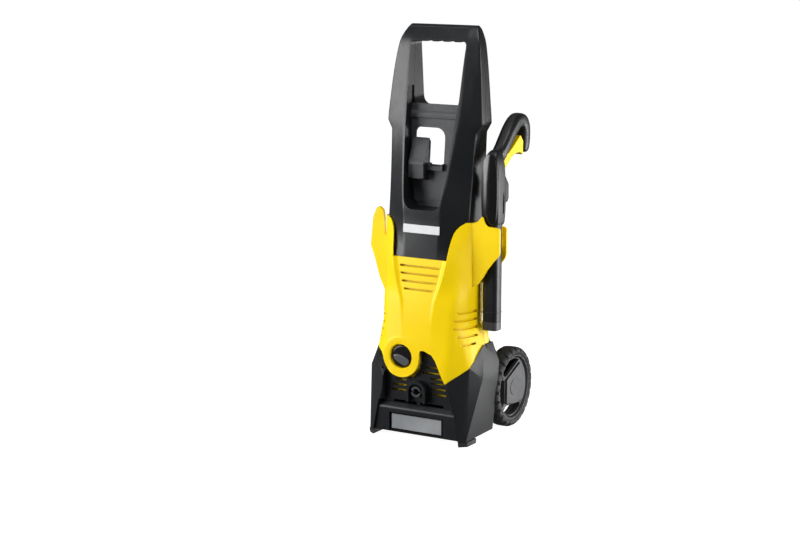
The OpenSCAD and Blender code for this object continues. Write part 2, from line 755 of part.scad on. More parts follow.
module nozzle_socket()
    color("#1f2124") from_front() difference() {
        rounded_column(27, 56, 80, 6, 186, 200);
        rod_z(lance_bore, 185, 201, gun_x, 68);
        for (side = [-1, 1]) box([gun_x + side * 9 - 2.5, 66, 185], [gun_x + side * 9 + 2.5, 70, 194]);
    }

module trigger()
    color("#ffd800") from_front() difference() {
        union() {
            side_prism([[88, 461], [97, 447], [112, 459], [131, 467], [157, 470], [157.6, 484], [149, 495],
                [124, 479], [104, 469], [95, 472], [88, 471]], gun_x - 8, gun_x + 8);
            rod_x(5, gun_x - 8, gun_x + 8, pivot_y, pivot_z);
        }
        rod_x(2 + running, gun_x - 9, gun_x + 9, pivot_y, pivot_z);
        rod_x(6.6, gun_x - 3, gun_x + 3, pivot_y, pivot_z);
    }

module trigger_pin()
    color("#b9bcc0") from_front() rod_x(2, gun_x - 10, gun_x + 10, pivot_y, pivot_z);

module trigger_spring()
    color("#a4a8ad") from_front() for (x = [-2, 0, 2])
        translate([gun_x + x, pivot_y, pivot_z]) rotate([0, 90, 0])
            rotate_extrude($fn = 32) translate([4.4, 0]) circle(r = 0.8, $fn = 16);

module safety_catch()
    color("#2e3134") from_front() translate([gun_x, 111.4, 501]) rotate([41, 0, 0]) {
        cube([8, 12, 4], center = true);
        translate([0, 0, -2.4]) cube([5, 5, 3], center = true);
    }

module hose_button()
    color("#ffd800") from_front() box([gun_x - 6, 92, 398], [gun_x + 6, 103, 414]);

module hose_port()
    color("#c29a45") from_front() difference() {
        rod_z(6.4, 392.4, 397, gun_x, 93.6);
        rod_z(5, 391, 398, gun_x, 93.6);
    }

module gun_valve()
    color("#c29a45") from_front() difference() {
        union() {
            rod_z(6, 366, 430, gun_x, 71);
            rod_z(4.6, 358, 366, gun_x, 71);
        }
        rod_z(2.5, 357, 420, gun_x, 71);
    }

// ---- Screws ----

// X, Z and the back of the wall at each screw
tower_screws = [[-50, 362, 107.4], [50, 362, 107.4], [-65, 541, 107], [65, 541, 107]];
body_screw_places = [[-40, 182, 110], [40, 182, 110], [-46, 300, 116], [46, 300, 116]];

module screw_holes(places)
    for (p = places) rod_y(3.7, p[2] - 12, p[2] + 20, p[0], p[1]);

module body_screws()
    color("#8f9398") from_front() for (p = concat(tower_screws, body_screw_places))
        difference() {
            union() {
                rod_y(3.3, p[2] - 3, p[2], p[0], p[1]);
                rod_y(2, p[2] - 11.5, p[2] - 3, p[0], p[1]);
            }
            box([p[0] - 3, p[2] - 1, p[1] - 0.6], [p[0] + 3, p[2] + 1, p[1] + 0.6]);
        }

base_housing();
front_grille();
rating_plate();
rubber_feet();
axle();
axle_clips();
left_wheel_disc();
left_tyre();
left_hub_cap();
right_wheel_disc();
right_tyre();
right_hub_cap();
front_shell();
rear_shell();
left_holder();
right_holster();
tower_front();
tower_rear();
recess_panel();
grip_insert();
blank_badge();
switch_knob();
switch_shaft();
switch_housing();
capacitor();
outlet_surround();
outlet_connector();
outlet_seal();
inlet_connector();
inlet_filter();
inlet_pipe();
cable_gland();
motor_shroud();
motor_stator();
motor_rotor();
motor_shaft();
cooling_fan();
motor_bearings();
motor_bracket();
brush_holders();
gearbox_housing();
wobble_plate();
pump_pistons();
piston_springs();
pump_head();
pump_valves();
gun_left_housing();
gun_right_housing();
gun_cover();
gun_grip_inlay();
gun_barrel();
nozzle_socket();
trigger();
trigger_pin();
trigger_spring();
safety_catch();
hose_button();
hose_port();
gun_valve();
body_screws();
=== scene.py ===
"""Upright pressure washer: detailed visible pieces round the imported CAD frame."""
import json
import math

import bmesh
import bpy
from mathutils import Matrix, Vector


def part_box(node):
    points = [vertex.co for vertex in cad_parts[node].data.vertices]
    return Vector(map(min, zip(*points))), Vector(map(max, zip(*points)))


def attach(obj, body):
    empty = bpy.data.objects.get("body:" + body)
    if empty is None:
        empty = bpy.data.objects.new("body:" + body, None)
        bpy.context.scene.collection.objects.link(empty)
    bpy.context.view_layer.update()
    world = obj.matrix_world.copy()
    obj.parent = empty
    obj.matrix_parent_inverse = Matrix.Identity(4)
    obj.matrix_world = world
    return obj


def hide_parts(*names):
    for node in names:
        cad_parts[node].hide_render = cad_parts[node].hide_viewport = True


MM = 0.001
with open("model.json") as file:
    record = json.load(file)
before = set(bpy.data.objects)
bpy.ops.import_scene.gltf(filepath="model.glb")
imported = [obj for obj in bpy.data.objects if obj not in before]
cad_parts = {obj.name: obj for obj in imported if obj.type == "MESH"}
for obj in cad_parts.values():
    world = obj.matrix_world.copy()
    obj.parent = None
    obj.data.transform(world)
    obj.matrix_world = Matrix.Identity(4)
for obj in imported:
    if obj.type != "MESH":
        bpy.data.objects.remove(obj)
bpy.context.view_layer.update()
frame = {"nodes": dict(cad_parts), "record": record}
# Y is counted from the front of the feet in the tables below, in millimetres.
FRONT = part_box("rubber_feet")[0][1] / MM
# Thickness of the yellow shells and of the base.
WALL = 3.0
# Middles that several pieces share: the switch, the water outlet, and the gun with its barrel.
SWITCH_X, SWITCH_Z = -28, 138
OUTLET_Z = 82
GUN_X, BARREL_Y = 105.0, 68

# Half outlines from front to back at each height, and how far each corner is rounded.
TOWER = [
    (302, [(0, 17), (30, 17.3), (47, 18.5), (74, 42), (75, 60), (74, 88), (58, 108), (0, 112)]),
    (332, [(0, 19), (32, 20), (51, 27.5), (74, 42.7), (75.5, 61), (74.5, 88), (58, 109), (0, 113)]),
    (345, [(0, 20), (33, 21), (53, 31), (74, 43), (76, 62), (76, 97), (67, 107), (0, 110)]),
    (362, [(0, 21), (34, 22), (62, 38), (75, 45), (76, 64), (76, 98), (67, 107), (0, 109)]),
    (380, [(0, 21), (34.7, 21.5), (62, 39), (75, 47), (76, 65), (76, 98), (67, 107), (0, 108)]),
    (430, [(0, 32), (42, 33), (62, 45), (76, 53), (77, 70), (77, 98), (68, 107), (0, 108)]),
    (504, [(0, 48), (49, 49), (64, 55), (78, 60), (79, 76), (79, 98), (70, 107), (0, 108)]),
    (518, [(0, 50), (51, 52), (70, 58), (87, 63), (87, 78), (87, 98), (78, 107), (0, 108)]),
    (550, [(0, 57), (52, 58), (70, 62), (85, 66), (85, 81), (85, 98), (76, 107), (0, 108)]),
    (644, [(0, 75), (52, 75.5), (63, 77), (74, 78), (74, 90), (74, 102), (67, 108), (0, 109)]),
    (667, [(0, 89), (49, 89), (57, 89.5), (65, 90), (65, 98), (65, 103), (60, 107), (0, 108)]),
    (672.5, [(0, 95), (47, 95), (54, 95), (60.5, 95.5), (61.5, 98.5), (61, 101), (56, 103), (0, 104)]),
]
TOWER_ROUND = [0, 3, 2.5, 3, 1.5, 5, 7, 0]
BODY = [
    (98, [(0, 1), (20, 1), (26, 1), (53, 1), (84, 22), (96, 60), (88, 90), (60, 110), (0, 116)]),
    (127, [(0, 1.5), (20, 2), (26, 2), (54, 2.5), (87, 25), (97, 70), (88, 92), (64, 113), (0, 118)]),
    (160, [(0, 2), (22, 2.5), (27, 2.5), (59, 6), (82, 26), (96, 76), (87, 94), (68, 113), (0, 119)]),
    (178, [(0, 3), (23, 3.5), (27, 3.5), (61, 8), (78, 26), (94, 76), (86, 93), (66, 112), (0, 119)]),
    (196, [(0, 4), (24, 4.5), (28, 4.5), (62, 10), (75, 27), (86, 68), (78, 87), (56, 107), (0, 116)]),
    (231, [(0, 7.5), (27, 8), (31, 6), (64, 14), (77, 34), (86, 68), (80.5, 87), (58, 108), (0, 117)]),
    (262, [(0, 12), (35, 12.5), (41, 8.5), (65, 22), (81, 44), (86, 68), (82, 88), (60, 110), (0, 119)]),
    (302, [(0, 17), (43, 17.5), (50, 13), (66, 27), (81, 45), (85, 68), (82, 92), (64, 116), (0, 122)]),
    (341, [(0, 27), (50, 28), (54, 25), (67, 34), (81, 45), (83, 68), (80, 94), (66, 118), (0, 123)]),
    (362, [(0, 36), (60, 36), (64, 35.5), (72, 40), (81, 46), (83, 68), (80, 94), (66, 118), (0, 123)]),
]
BODY_ROUND = [0, 2, 2.5, 10, 9, 12, 9, 10, 0]


# ---- Mesh helpers: all lengths in millimetres until a mesh is made ----

def metres(x, y, z):
    """A point of the tables in Blender's metres."""
    return (x * MM, (y + FRONT) * MM, z * MM)


def new_object(name, verts, faces):
    """Object with merged points and faces that look outwards."""
    mesh = bpy.data.meshes.new(name)
    mesh.from_pydata([metres(*v) for v in verts], [], faces)
    obj = bpy.data.objects.new(name, mesh)
    bpy.context.scene.collection.objects.link(obj)
    bm = bmesh.new()
    bm.from_mesh(mesh)
    bmesh.ops.remove_doubles(bm, verts=bm.verts, dist=1e-6)
    bmesh.ops.recalc_face_normals(bm, faces=bm.faces)
    bm.to_mesh(mesh)
    bm.free()
    return obj


def loft(name, rings):
    """Closed solid through rings of equal length."""
    count, verts = len(rings[0]), [p for ring in rings for p in ring]
    faces = [list(range(count))[::-1], [len(verts) - count + i for i in range(count)]]
    for k in range(len(rings) - 1):
        for i in range(count):
            j = (i + 1) % count
            faces.append([k * count + i, k * count + j, (k + 1) * count + j, (k + 1) * count + i])
    return new_object(name, verts, faces)


def prism(name, outline, axis, low, high):
    """An outline stretched along an axis: X takes (y, z), Y takes (x, z) and Z takes (x, y)."""
    place = {"X": lambda p, t: (t, p[0], p[1]), "Y": lambda p, t: (p[0], t, p[1]),
             "Z": lambda p, t: (p[0], p[1], t)}[axis]
    return loft(name, [[place(p, t) for p in outline] for t in (low, high)])


def block(name, low, high):
    """Plain box between two corners, for cutting and joining."""
    return prism(name, [(low[0], low[1]), (high[0], low[1]), (high[0], high[1]), (low[0], high[1])],
                 "Z", low[2], high[2])


def revolve(name, profile, axis, centre, steps=96, wave=None):
    """Closed ring of a profile (radius, distance along the axis); wave changes the radius with the angle."""
    rings = []
    for k in range(steps):
        a = math.tau * k / steps
        ring = []
        for n, (radius, along) in enumerate(profile):
            r = radius - (wave(n, k) if wave else 0)
            c, s = r * math.cos(a), r * math.sin(a)
            ring.append({"X": (centre[0] + along, centre[1] + c, centre[2] + s),
                         "Y": (centre[0] + c, centre[1] + along, centre[2] + s),
                         "Z": (centre[0] + c, centre[1] + s, centre[2] + along)}[axis])
        rings.append(ring)
    count, verts = len(profile), [p for ring in rings for p in ring]
    faces = []
    for k in range(steps):
        for i in range(count):
            j, m = (i + 1) % count, (k + 1) % steps
            faces.append([k * count + i, k * count + j, m * count + j, m * count + i])
    return new_object(name, verts, faces)


def disc_y(name, radius, x, z, low, high, steps=64):
    """Round bar along Y."""
    return prism(name, arc(x, z, radius, 0, 360, steps)[:-1], "Y", low, high)


def disc_x(name, radius, y, z, low, high, steps=64):
    """Round bar along X."""
    return prism(name, arc(y, z, radius, 0, 360, steps)[:-1], "X", low, high)


def disc_z(name, radius, x, y, low, high, steps=48):
    """Round bar along Z."""
    return prism(name, arc(x, y, radius, 0, 360, steps)[:-1], "Z", low, high)


def plate_y(name, x0, x1, z0, z1, radius, y0, y1):
    """Upright plate with rounded corners."""
    return prism(name, rounded([(x0, z0), (x1, z0), (x1, z1), (x0, z1)], radius), "Y", y0, y1)


def arc(cx, cy, r, start, end, steps=8):
    """Points on a circle between two angles in degrees."""
    turns = [math.radians(start + (end - start) * k / steps) for k in range(steps + 1)]
    return [(cx + r * math.cos(t), cy + r * math.sin(t)) for t in turns]


def both_sides(right_half):
    """Outline of (x, z) points with its mirror image, which closes it."""
    return right_half + [(-x, z) for x, z in reversed(right_half)]


def rounded(points, radii, steps=4):
    """A closed outline with each corner turned into a small curve."""
    radii = radii if isinstance(radii, (list, tuple)) else [radii] * len(points)
    made = []
    for i, point in enumerate(points):
        b = Vector(point)
        before, after = Vector(points[i - 1]) - b, Vector(points[(i + 1) % len(points)]) - b
        if radii[i] == 0:
            made.append(tuple(b))
            continue
        r = min(radii[i], 0.46 * before.length, 0.46 * after.length)
        p, q = b + before.normalized() * r, b + after.normalized() * r
        for k in range(steps + 1):
            t = k / steps
            made.append(tuple(p * (1 - t) ** 2 + b * (2 * t * (1 - t)) + q * t * t))
    return made


def monotone(xs, ys, x):
    """Smooth curve through points that never swings past them."""
    k = max(i for i in range(len(xs) - 1) if i == 0 or xs[i] <= x)
    slopes = [(ys[i + 1] - ys[i]) / (xs[i + 1] - xs[i]) for i in range(len(xs) - 1)]

    def tangent(i):
        if i == 0 or i == len(xs) - 1:
            return slopes[min(i, len(slopes) - 1)]
        a, b = slopes[i - 1], slopes[i]
        return 2 * a * b / (a + b) if a * b > 0 else 0.0

    h = xs[k + 1] - xs[k]
    t = (x - xs[k]) / h
    return ((2 * t**3 - 3 * t**2 + 1) * ys[k] + (t**3 - 2 * t**2 + t) * h * tangent(k)
            + (3 * t**2 - 2 * t**3) * ys[k + 1] + (t**3 - t**2) * h * tangent(k + 1))


def section_at(table, z):
    """Half outline at a height between the rows of a table."""
    heights = [row[0] for row in table]
    return [tuple(monotone(heights, [row[1][i][axis] for row in table], z) for axis in (0, 1))
            for i in range(len(table[0][1]))]


def grown(half, amount):
    """A half outline moved outwards, each point along the mean normal of its two sides."""
    moved = []
    for i, (x, y) in enumerate(half):
        if i in (0, len(half) - 1):
            moved.append((x, y - amount if i == 0 else y + amount))
            continue
        side = Vector(half[i + 1]) - Vector(half[i - 1])
        moved.append((x + amount * side.y / side.length, y - amount * side.x / side.length))
    return moved


def outline_ring(half, radii, z, grow=0.0):
    """Full outline of a half section, grown outwards and rounded."""
    half = grown(half, grow) if grow else half
    full = half + [(-x, y) for x, y in half[-2:0:-1]]
    return [(x, y, z) for x, y in rounded(full, radii + radii[-2:0:-1])]


def sectioned(name, table, radii, low, high, step=7.0, grow=0.0):
    """Smooth solid through a table of half outlines between two heights."""
    levels = sorted({low, high} | {row[0] for row in table if low < row[0] < high})
    first, last = table[0][0], table[-1][0]
    zs = []
    for a, b in zip(levels, levels[1:]):
        parts = max(1, round((b - a) / step))
        zs += [a + (b - a) * k / parts for k in range(parts)]
    zs.append(high)
    return loft(name, [outline_ring(section_at(table, min(max(z, first), last)), radii, z, grow)
                       for z in zs])


def direction(path, i):
    """Unit vector along a path of (y, z, ...) points at one of them."""
    before, after = path[max(i - 1, 0)], path[min(i + 1, len(path) - 1)]
    return (Vector(after[:2]) - Vector(before[:2])).normalized()


def swept(name, path, steps=28, power=3.2):
    """Bar in the gun's middle plane along (y, z, width, thickness) points, rounded in section."""
    rings = []
    for i, (y, z, width, thickness) in enumerate(path):
        along = direction(path, i)
        side = Vector((-along.y, along.x))
        ring = []
        for k in range(steps):
            a = math.tau * k / steps
            c, s = math.cos(a), math.sin(a)
            c = math.copysign(abs(c) ** (2 / power), c)
            s = math.copysign(abs(s) ** (2 / power), s)
            q = Vector((y, z)) + side * (thickness / 2 * s)
            ring.append((GUN_X + width / 2 * c, q.x, q.y))
        rings.append(ring)
    return loft(name, rings)


def smooth_path(points, per_span=6):
    """Catmull-Rom curve through tuples of any length."""
    made = []
    for i in range(len(points) - 1):
        a, b, c, d = (points[max(i - 1, 0)], points[i], points[i + 1], points[min(i + 2, len(points) - 1)])
        for k in range(per_span):
            t = k / per_span
            made.append(tuple(
                0.5 * (2 * q + (r - p) * t + (2 * p - 5 * q + 4 * r - s) * t * t
                       + (3 * q - p - 3 * r + s) * t**3) for p, q, r, s in zip(a, b, c, d)))
    made.append(tuple(points[-1]))
    return made


def apply_modifiers(obj):
    """Bakes the modifiers into the object's mesh."""
    graph = bpy.context.evaluated_depsgraph_get()
    mesh = bpy.data.meshes.new_from_object(obj.evaluated_get(graph))
    old = obj.data
    obj.modifiers.clear()
    obj.data = mesh
    bpy.data.meshes.remove(old)
    mesh.name = obj.name


def combine(obj, operation, *others):
    """Booleans with other objects, which are used up."""
    for other in others:
        mod = obj.modifiers.new("op", "BOOLEAN")
        mod.operation, mod.object, mod.solver = operation, other, "EXACT"
        apply_modifiers(obj)
        bpy.data.objects.remove(other)
    return obj


def cut(obj, *others):
    return combine(obj, "DIFFERENCE", *others)


def add(obj, *others):
    return combine(obj, "UNION", *others)


def keep(obj, *others):
    return combine(obj, "INTERSECT", *others)


def joined(*objs):
    """One object of several that don't touch."""
    bm = bmesh.new()
    for obj in objs:
        bm.from_mesh(obj.data)
    bm.to_mesh(objs[0].data)
    bm.free()
    for obj in objs[1:]:
        bpy.data.objects.remove(obj)
    return objs[0]


def mirror_copy(obj, name):
    """Mirror image across the machine's middle plane."""
    mesh = obj.data.copy()
    mesh.name = name
    for v in mesh.vertices:
        v.co.x = -v.co.x
    mesh.flip_normals()
    twin = bpy.data.objects.new(name, mesh)
    bpy.context.scene.collection.objects.link(twin)
    return twin


def soften(obj, width=0.8, segments=2, angle=32):
    """Rounded edges and smooth shading, as a moulding has."""
    for poly in obj.data.polygons:
        poly.use_smooth = True
    bevel = obj.modifiers.new("edges", "BEVEL")
    bevel.width, bevel.segments = width * MM, segments
    bevel.limit_method, bevel.angle_limit = "ANGLE", math.radians(angle)
    bevel.miter_outer = "MITER_ARC"
    obj.modifiers.new("shading", "WEIGHTED_NORMAL").keep_sharp = True


def finish_piece(obj, body, material, nodes=(), width=0.8, segments=2, angle=32):
    """Edges, material and body of a piece, and the CAD nodes that it stands for."""
    if width:
        soften(obj, width, segments, angle)
    obj.data.materials.clear()
    obj.data.materials.append(MATERIALS[material])
    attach(obj, body)
    if nodes:
        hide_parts(*nodes)


# ---- Materials ----

# Depth of a material's grain in metres, and the roughness of a clear coat.
GRAIN_DEPTH, COAT_ROUGHNESS = 0.0004, 0.08


def node_material(name):
    """Empty node material with its shader and the object's own coordinates."""
    mat = bpy.data.materials.new(name)
    mat.use_nodes = True
    tree = mat.node_tree
    shader = tree.nodes["Principled BSDF"]
    coords = tree.nodes.new("ShaderNodeTexCoord")
    return mat, tree, shader, coords


def noise(tree, coords, scale, detail=3.0, stretch=None):
    """Noise on the object's coordinates, stretched along its axes if asked."""
    node = tree.nodes.new("ShaderNodeTexNoise")
    node.inputs["Scale"].default_value = scale
    node.inputs["Detail"].default_value = detail
    source = coords.outputs["Object"]
    if stretch:
        mapping = tree.nodes.new("ShaderNodeMapping")
        mapping.inputs["Scale"].default_value = stretch
        tree.links.new(source, mapping.inputs["Vector"])
        source = mapping.outputs["Vector"]
    tree.links.new(source, node.inputs["Vector"])
    return node.outputs["Fac"]


def ramp(tree, factor, low, high):
    """Colour between two others, as the noise goes."""
    node = tree.nodes.new("ShaderNodeValToRGB")
    for stop, position, colour in zip(node.color_ramp.elements, (0.35, 0.65), (low, high)):
        stop.position, stop.color = position, (*colour, 1)
    tree.links.new(factor, node.inputs["Fac"])
    return node.outputs["Color"]


def span(tree, factor, low, high):
    """Number between two others, as the noise goes."""
    node = tree.nodes.new("ShaderNodeMapRange")
    node.inputs["From Min"].default_value, node.inputs["From Max"].default_value = 0.3, 0.7
    node.inputs["To Min"].default_value, node.inputs["To Max"].default_value = low, high
    tree.links.new(factor, node.inputs["Value"])
    return node.outputs["Result"]


def surface(name, low, high, rough, grain=1400.0, relief=0.12, patches=18.0, metal=0.0, coat=0.0,
            stretch=None, specular=0.5):
    """Colour that varies softly over patches, roughness that varies, and a fine grain as relief."""
    mat, tree, shader, coords = node_material(name)
    tree.links.new(ramp(tree, noise(tree, coords, patches), low, high), shader.inputs["Base Color"])
    tree.links.new(span(tree, noise(tree, coords, patches * 7, stretch=stretch), *rough),
                   shader.inputs["Roughness"])
    bump = tree.nodes.new("ShaderNodeBump")
    bump.inputs["Strength"].default_value = relief
    bump.inputs["Distance"].default_value = GRAIN_DEPTH
    tree.links.new(noise(tree, coords, grain, 2.0, stretch), bump.inputs["Height"])
    tree.links.new(bump.outputs["Normal"], shader.inputs["Normal"])
    shader.inputs["Metallic"].default_value = metal
    shader.inputs["Coat Weight"].default_value = coat
    shader.inputs["Coat Roughness"].default_value = COAT_ROUGHNESS
    shader.inputs["Specular IOR Level"].default_value = specular
    return mat


MATERIALS = {
    "yellow_plastic": surface("yellow_plastic", (0.90, 0.625, 0.001), (0.94, 0.66, 0.001), (0.30, 0.38),
                              grain=1500, relief=0.05, specular=0.25),
    "charcoal_plastic": surface("charcoal_plastic", (0.0050, 0.0058, 0.0072), (0.0072, 0.0080, 0.0096),
                                (0.32, 0.37), grain=1900, relief=0.16, specular=0.36),
    "matte_charcoal": surface("matte_charcoal", (0.030, 0.032, 0.036), (0.038, 0.040, 0.044), (0.5, 0.6),
                              grain=1500, relief=0.3, specular=0.5),
    "gloss_black_plastic": surface("gloss_black_plastic", (0.003, 0.003, 0.0035), (0.005, 0.005, 0.0055),
                                   (0.16, 0.24), grain=500, relief=0.02, coat=0.1, specular=0.4),
    # Near-black with little shine: painted shade for the label's recess.
    "recess_shade_black": surface("recess_shade_black", (0.002, 0.002, 0.002), (0.004, 0.004, 0.004), (0.6, 0.7), grain=900,
                          relief=0.05, specular=0.1),
    "grey_plastic": surface("grey_plastic", (0.030, 0.031, 0.034), (0.042, 0.043, 0.046), (0.36, 0.5),
                            grain=1700, relief=0.2),
    # Light grey of the switch grip: partly its own grey, partly a painted reflection of the glossy band
    # across it.
    "pointer_grey": surface("pointer_grey", (0.075, 0.08, 0.085), (0.10, 0.105, 0.11), (0.15, 0.25),
                            grain=500, relief=0.03, coat=0.4),
    "white_print": surface("white_print", (0.62, 0.63, 0.64), (0.70, 0.71, 0.72), (0.4, 0.5), grain=900,
                           relief=0.03),
    "pale_label": surface("pale_label", (0.22, 0.23, 0.24), (0.30, 0.31, 0.32), (0.3, 0.45), grain=900,
                          relief=0.05, stretch=(0.15, 1, 4)),
    "tyre_rubber": surface("tyre_rubber", (0.010, 0.010, 0.0105), (0.017, 0.017, 0.018), (0.55, 0.75),
                           grain=900, relief=0.35),
    "soft_rubber": surface("soft_rubber", (0.012, 0.012, 0.0125), (0.019, 0.019, 0.02), (0.6, 0.8),
                           grain=1100, relief=0.3),
    "steel": surface("steel", (0.50, 0.51, 0.52), (0.62, 0.63, 0.64), (0.22, 0.36), grain=1200,
                     relief=0.05, metal=1.0, stretch=(1, 6, 6)),
    "aluminium": surface("aluminium", (0.52, 0.53, 0.54), (0.66, 0.67, 0.68), (0.35, 0.5), grain=800,
                         relief=0.2, metal=1.0),
    "brass": surface("brass", (0.58, 0.40, 0.16), (0.70, 0.50, 0.22), (0.2, 0.35), grain=900,
                     relief=0.05, metal=1.0),
    "copper_windings": surface("copper_windings", (0.35, 0.13, 0.04), (0.52, 0.22, 0.08), (0.3, 0.5),
                               grain=500, relief=0.5, metal=0.6, stretch=(1, 1, 8)),
}


# ---- Tower ----

def panel_y(z):
    """Front of the recess floor, which leans back with height."""
    return 58 + 0.1 * (z - 388)


def seam_y(z):
    """Seam between the front and the rear frame, which leans back with height."""
    return 57 + 0.11 * (z - 361)


# Y range that passes right through the tower, and X range that passes through all of the machine.
THROUGH, ACROSS = (-20, 160), (-150, 150)
# Recess round the hose hook as X and Z. Its left wall leans a little less than its right wall.
RECESS = [(25, 380), (33.5, 391), (37, 430), (41.5, 504), (45.5, 545), (47, 575),
          (-49, 575), (-48, 550), (-46.5, 504), (-40.5, 430), (-34.5, 391), (-25, 380)]
RECESS_ROUND = [10, 8, 20, 20, 0, 0, 0, 0, 20, 20, 8, 10]
# Hollow at the back of the tower, behind the recess floor.
CAVITY = both_sides([(52, 396), (58, 402), (60, 504), (60, 534)])
# Hand opening: half widths at its bottom and top at one depth, its heights, and how much narrower each half
# gets for every millimetre of depth.
WINDOW_HALVES, WINDOW_DEPTH, WINDOW_HEIGHTS, WINDOW_DRAFT = (45.6, 51.8), 66, (541.5, 648), 0.065


# Open seam between the two frames of the tower.
SEAM_GAP = 0.5


def slanted(name, outline, near, far):
    """Opening through the tower between two slanted planes, given as offsets from the recess floor."""
    slab = prism(name + "_slab", [(near(376), 376), (far(376), 376), (far(580), 580), (near(580), 580)],
                 "X", *ACROSS)
    return keep(prism(name, outline, "Y", *THROUGH), slab)


def window_outline(y):
    """Hand opening at a depth: it narrows downwards and towards the back."""
    low, high = (half - WINDOW_DRAFT * (y - WINDOW_DEPTH) for half in WINDOW_HALVES)
    bottom, top = WINDOW_HEIGHTS
    return rounded([(low, bottom), (high, top), (-high, top), (-low, bottom)], [12, 9, 9, 16], 6)


def make_tower():
    """Front and rear frame of the tower, cut from one solid along the slanted seam."""
    solid = sectioned("tower_front_frame", TOWER, TOWER_ROUND, TOWER[0][0], TOWER[-1][0])
    window = loft("w", [[(x, y, z) for x, z in window_outline(y)] for y in THROUGH])
    recess = slanted("recess", rounded(RECESS, RECESS_ROUND), lambda z: -10, lambda z: panel_y(z) + WALL)
    cavity = slanted("cavity", rounded(CAVITY, 5), lambda z: panel_y(z) + WALL - 0.1, lambda z: 150)
    cut(solid, window, recess, cavity)
    rear = solid.copy()
    rear.data = solid.data.copy()
    rear.name = "tower_rear_frame"
    bpy.context.scene.collection.objects.link(rear)
    low, high = 290, 700
    cut(solid, prism("behind", [(seam_y(low), low), (220, low), (220, high), (seam_y(high), high)],
                     "X", *ACROSS))
    cut(rear, prism("ahead", [(-60, low), (seam_y(low) + SEAM_GAP, low), (seam_y(high) + SEAM_GAP, high),
                              (-60, high)], "X", *ACROSS))
    finish_piece(solid, "machine", "charcoal_plastic", ["tower_front"], width=2.0, segments=3)
    finish_piece(rear, "machine", "charcoal_plastic", ["tower_rear"], width=1.6, segments=3)


# J-shaped opening beside the hose hook, as X and Z.
J_HOLE = ([(17, 449), (17, 490)] + arc(1, 492, 16, 0, 90) + arc(-29, 500, 8, 90, 180)
          + [(-37, 491)] + arc(-18, 483, 8, 90, 0) + [(-10, 449)])


def make_recess_panel():
    """Floor of the recess with its J-shaped opening, the hose hook and the lip below it."""
    low, high = 381, 546
    plate = prism("recess_floor", [(panel_y(low), low), (panel_y(low) + WALL, low),
                                   (panel_y(high) + WALL, high), (panel_y(high), high)], "X", -80, 80)
    keep(plate, prism("o", rounded(RECESS, RECESS_ROUND), "Y", 30, 120))
    cut(plate, prism("j", J_HOLE, "Y", 30, 120))
    side = [(panel_y(424) + 0.5, 423), (46.5, 426), (46, 452), (50, 458), (59, 480), (65, 489),
            (panel_y(489) + 0.5, 491)]
    tongue = prism("tongue", rounded(side, [0, 3, 3, 5, 6, 3, 0]), "X", -39, -11)
    cut(tongue, block("r", (-33, 40, 418), (-17, 47.6, 448)))
    front = [(-11, 452), (-11, 440), (18, 440), (18, 452), (14, 447), (-7, 447)]
    lip = prism("lip", rounded(front, 2), "Y", panel_y(447) - 7, panel_y(447) + 8)
    ledge = prism("ledge", both_sides([(30, 388), (33.6, 392)]), "Y", 56, 60)
    add(plate, tongue, lip, ledge)
    finish_piece(plate, "machine", "matte_charcoal", ["recess_panel"], width=1.0)


def make_badge():
    """Blank pale bar on the front of the tower."""
    bar = prism("pale_badge", [(19.1, 342), (21.4, 342), (22.2, 355.5), (19.9, 355.5)], "X", -33, 33)
    finish_piece(bar, "machine", "white_print", ["blank_badge"], width=0.3)


def make_shelf():
    """Bulging lower bar of the hand opening."""
    side = [(69.4, 523), (69.6, 530), (74, 537), (88, 541), (104, 542), (104, 523)]
    bar = prism("hand_bar_lower", rounded(side, [1, 4, 8, 8, 3, 3], 6), "X", -48, 46)
    finish_piece(bar, "machine", "matte_charcoal", width=0)


def make_grip():
    """Four finger ribs under the top bar."""
    ribs, top, bottom = [], 649.5, 645.6
    for x in (-30, -10, 10, 30):
        outline = [(x - 9, top), (x - 6, bottom), (x + 6, bottom), (x + 9, top)]
        ribs.append(prism("rib", rounded(outline, [0, 2.5, 2.5, 0]), "Y", 84, 105))
    pads = joined(*ribs)
    pads.name = "grip_pads"
    finish_piece(pads, "machine", "soft_rubber", ["grip_insert"])


# ---- Yellow body ----

# Edges of the front shell as X and Z: where the tower stands in it, and above the base and round the switch.
ARM_CONTOUR = both_sides([(49.5, 301.6), (51.5, 320), (54.5, 341), (58, 350), (63.5, 357), (70, 361),
                          (70, 385)])
COLLAR_RADIUS = 34
LOWER_EDGE = ([(-97, 161), (-84, 146), (-70, 139)] + arc(SWITCH_X, SWITCH_Z, COLLAR_RADIUS, 220, 357, 20)
              + [(7, 151), (14, 153), (29, 147), (36, 138), (53.5, 101), (87, 127), (97, 161)])
ABOVE_EDGE = LOWER_EDGE + [(140, 161), (140, 400), (-140, 400), (-140, 161)]


# Half widths of the front vents from the top down, and each side vent's inner end with its depth.
FRONT_VENTS = [37, 35, 32, 27]
SIDE_VENTS = [(66, 58), (62, 60), (62, 60), (67, 54), (73, 48)]


def slot_cutter(name, x0, x1, z, height, y0, y1):
    """Level slot with round ends."""
    r = height / 2
    ends = arc(x1 - r, z, r, -90, 90, 6) + arc(x0 + r, z, r, 90, 270, 6)
    return prism(name, ends, "Y", y0, y1)


def vents():
    """Cutters for the slots in the front and both sides of the front shell."""
    cutters = []
    for k, half in enumerate(FRONT_VENTS):
        cutters.append(slot_cutter("vent", -half, half, 288 - 12.4 * k, 3.6, -2, 26))
    for side in (-1, 1):
        for k, (start, back) in enumerate(SIDE_VENTS):
            x0, x1 = sorted((side * start, side * 120))
            cutters.append(slot_cutter("vent", x0, x1, 217 - 13 * k, 3.8, -2, back))
    return cutters


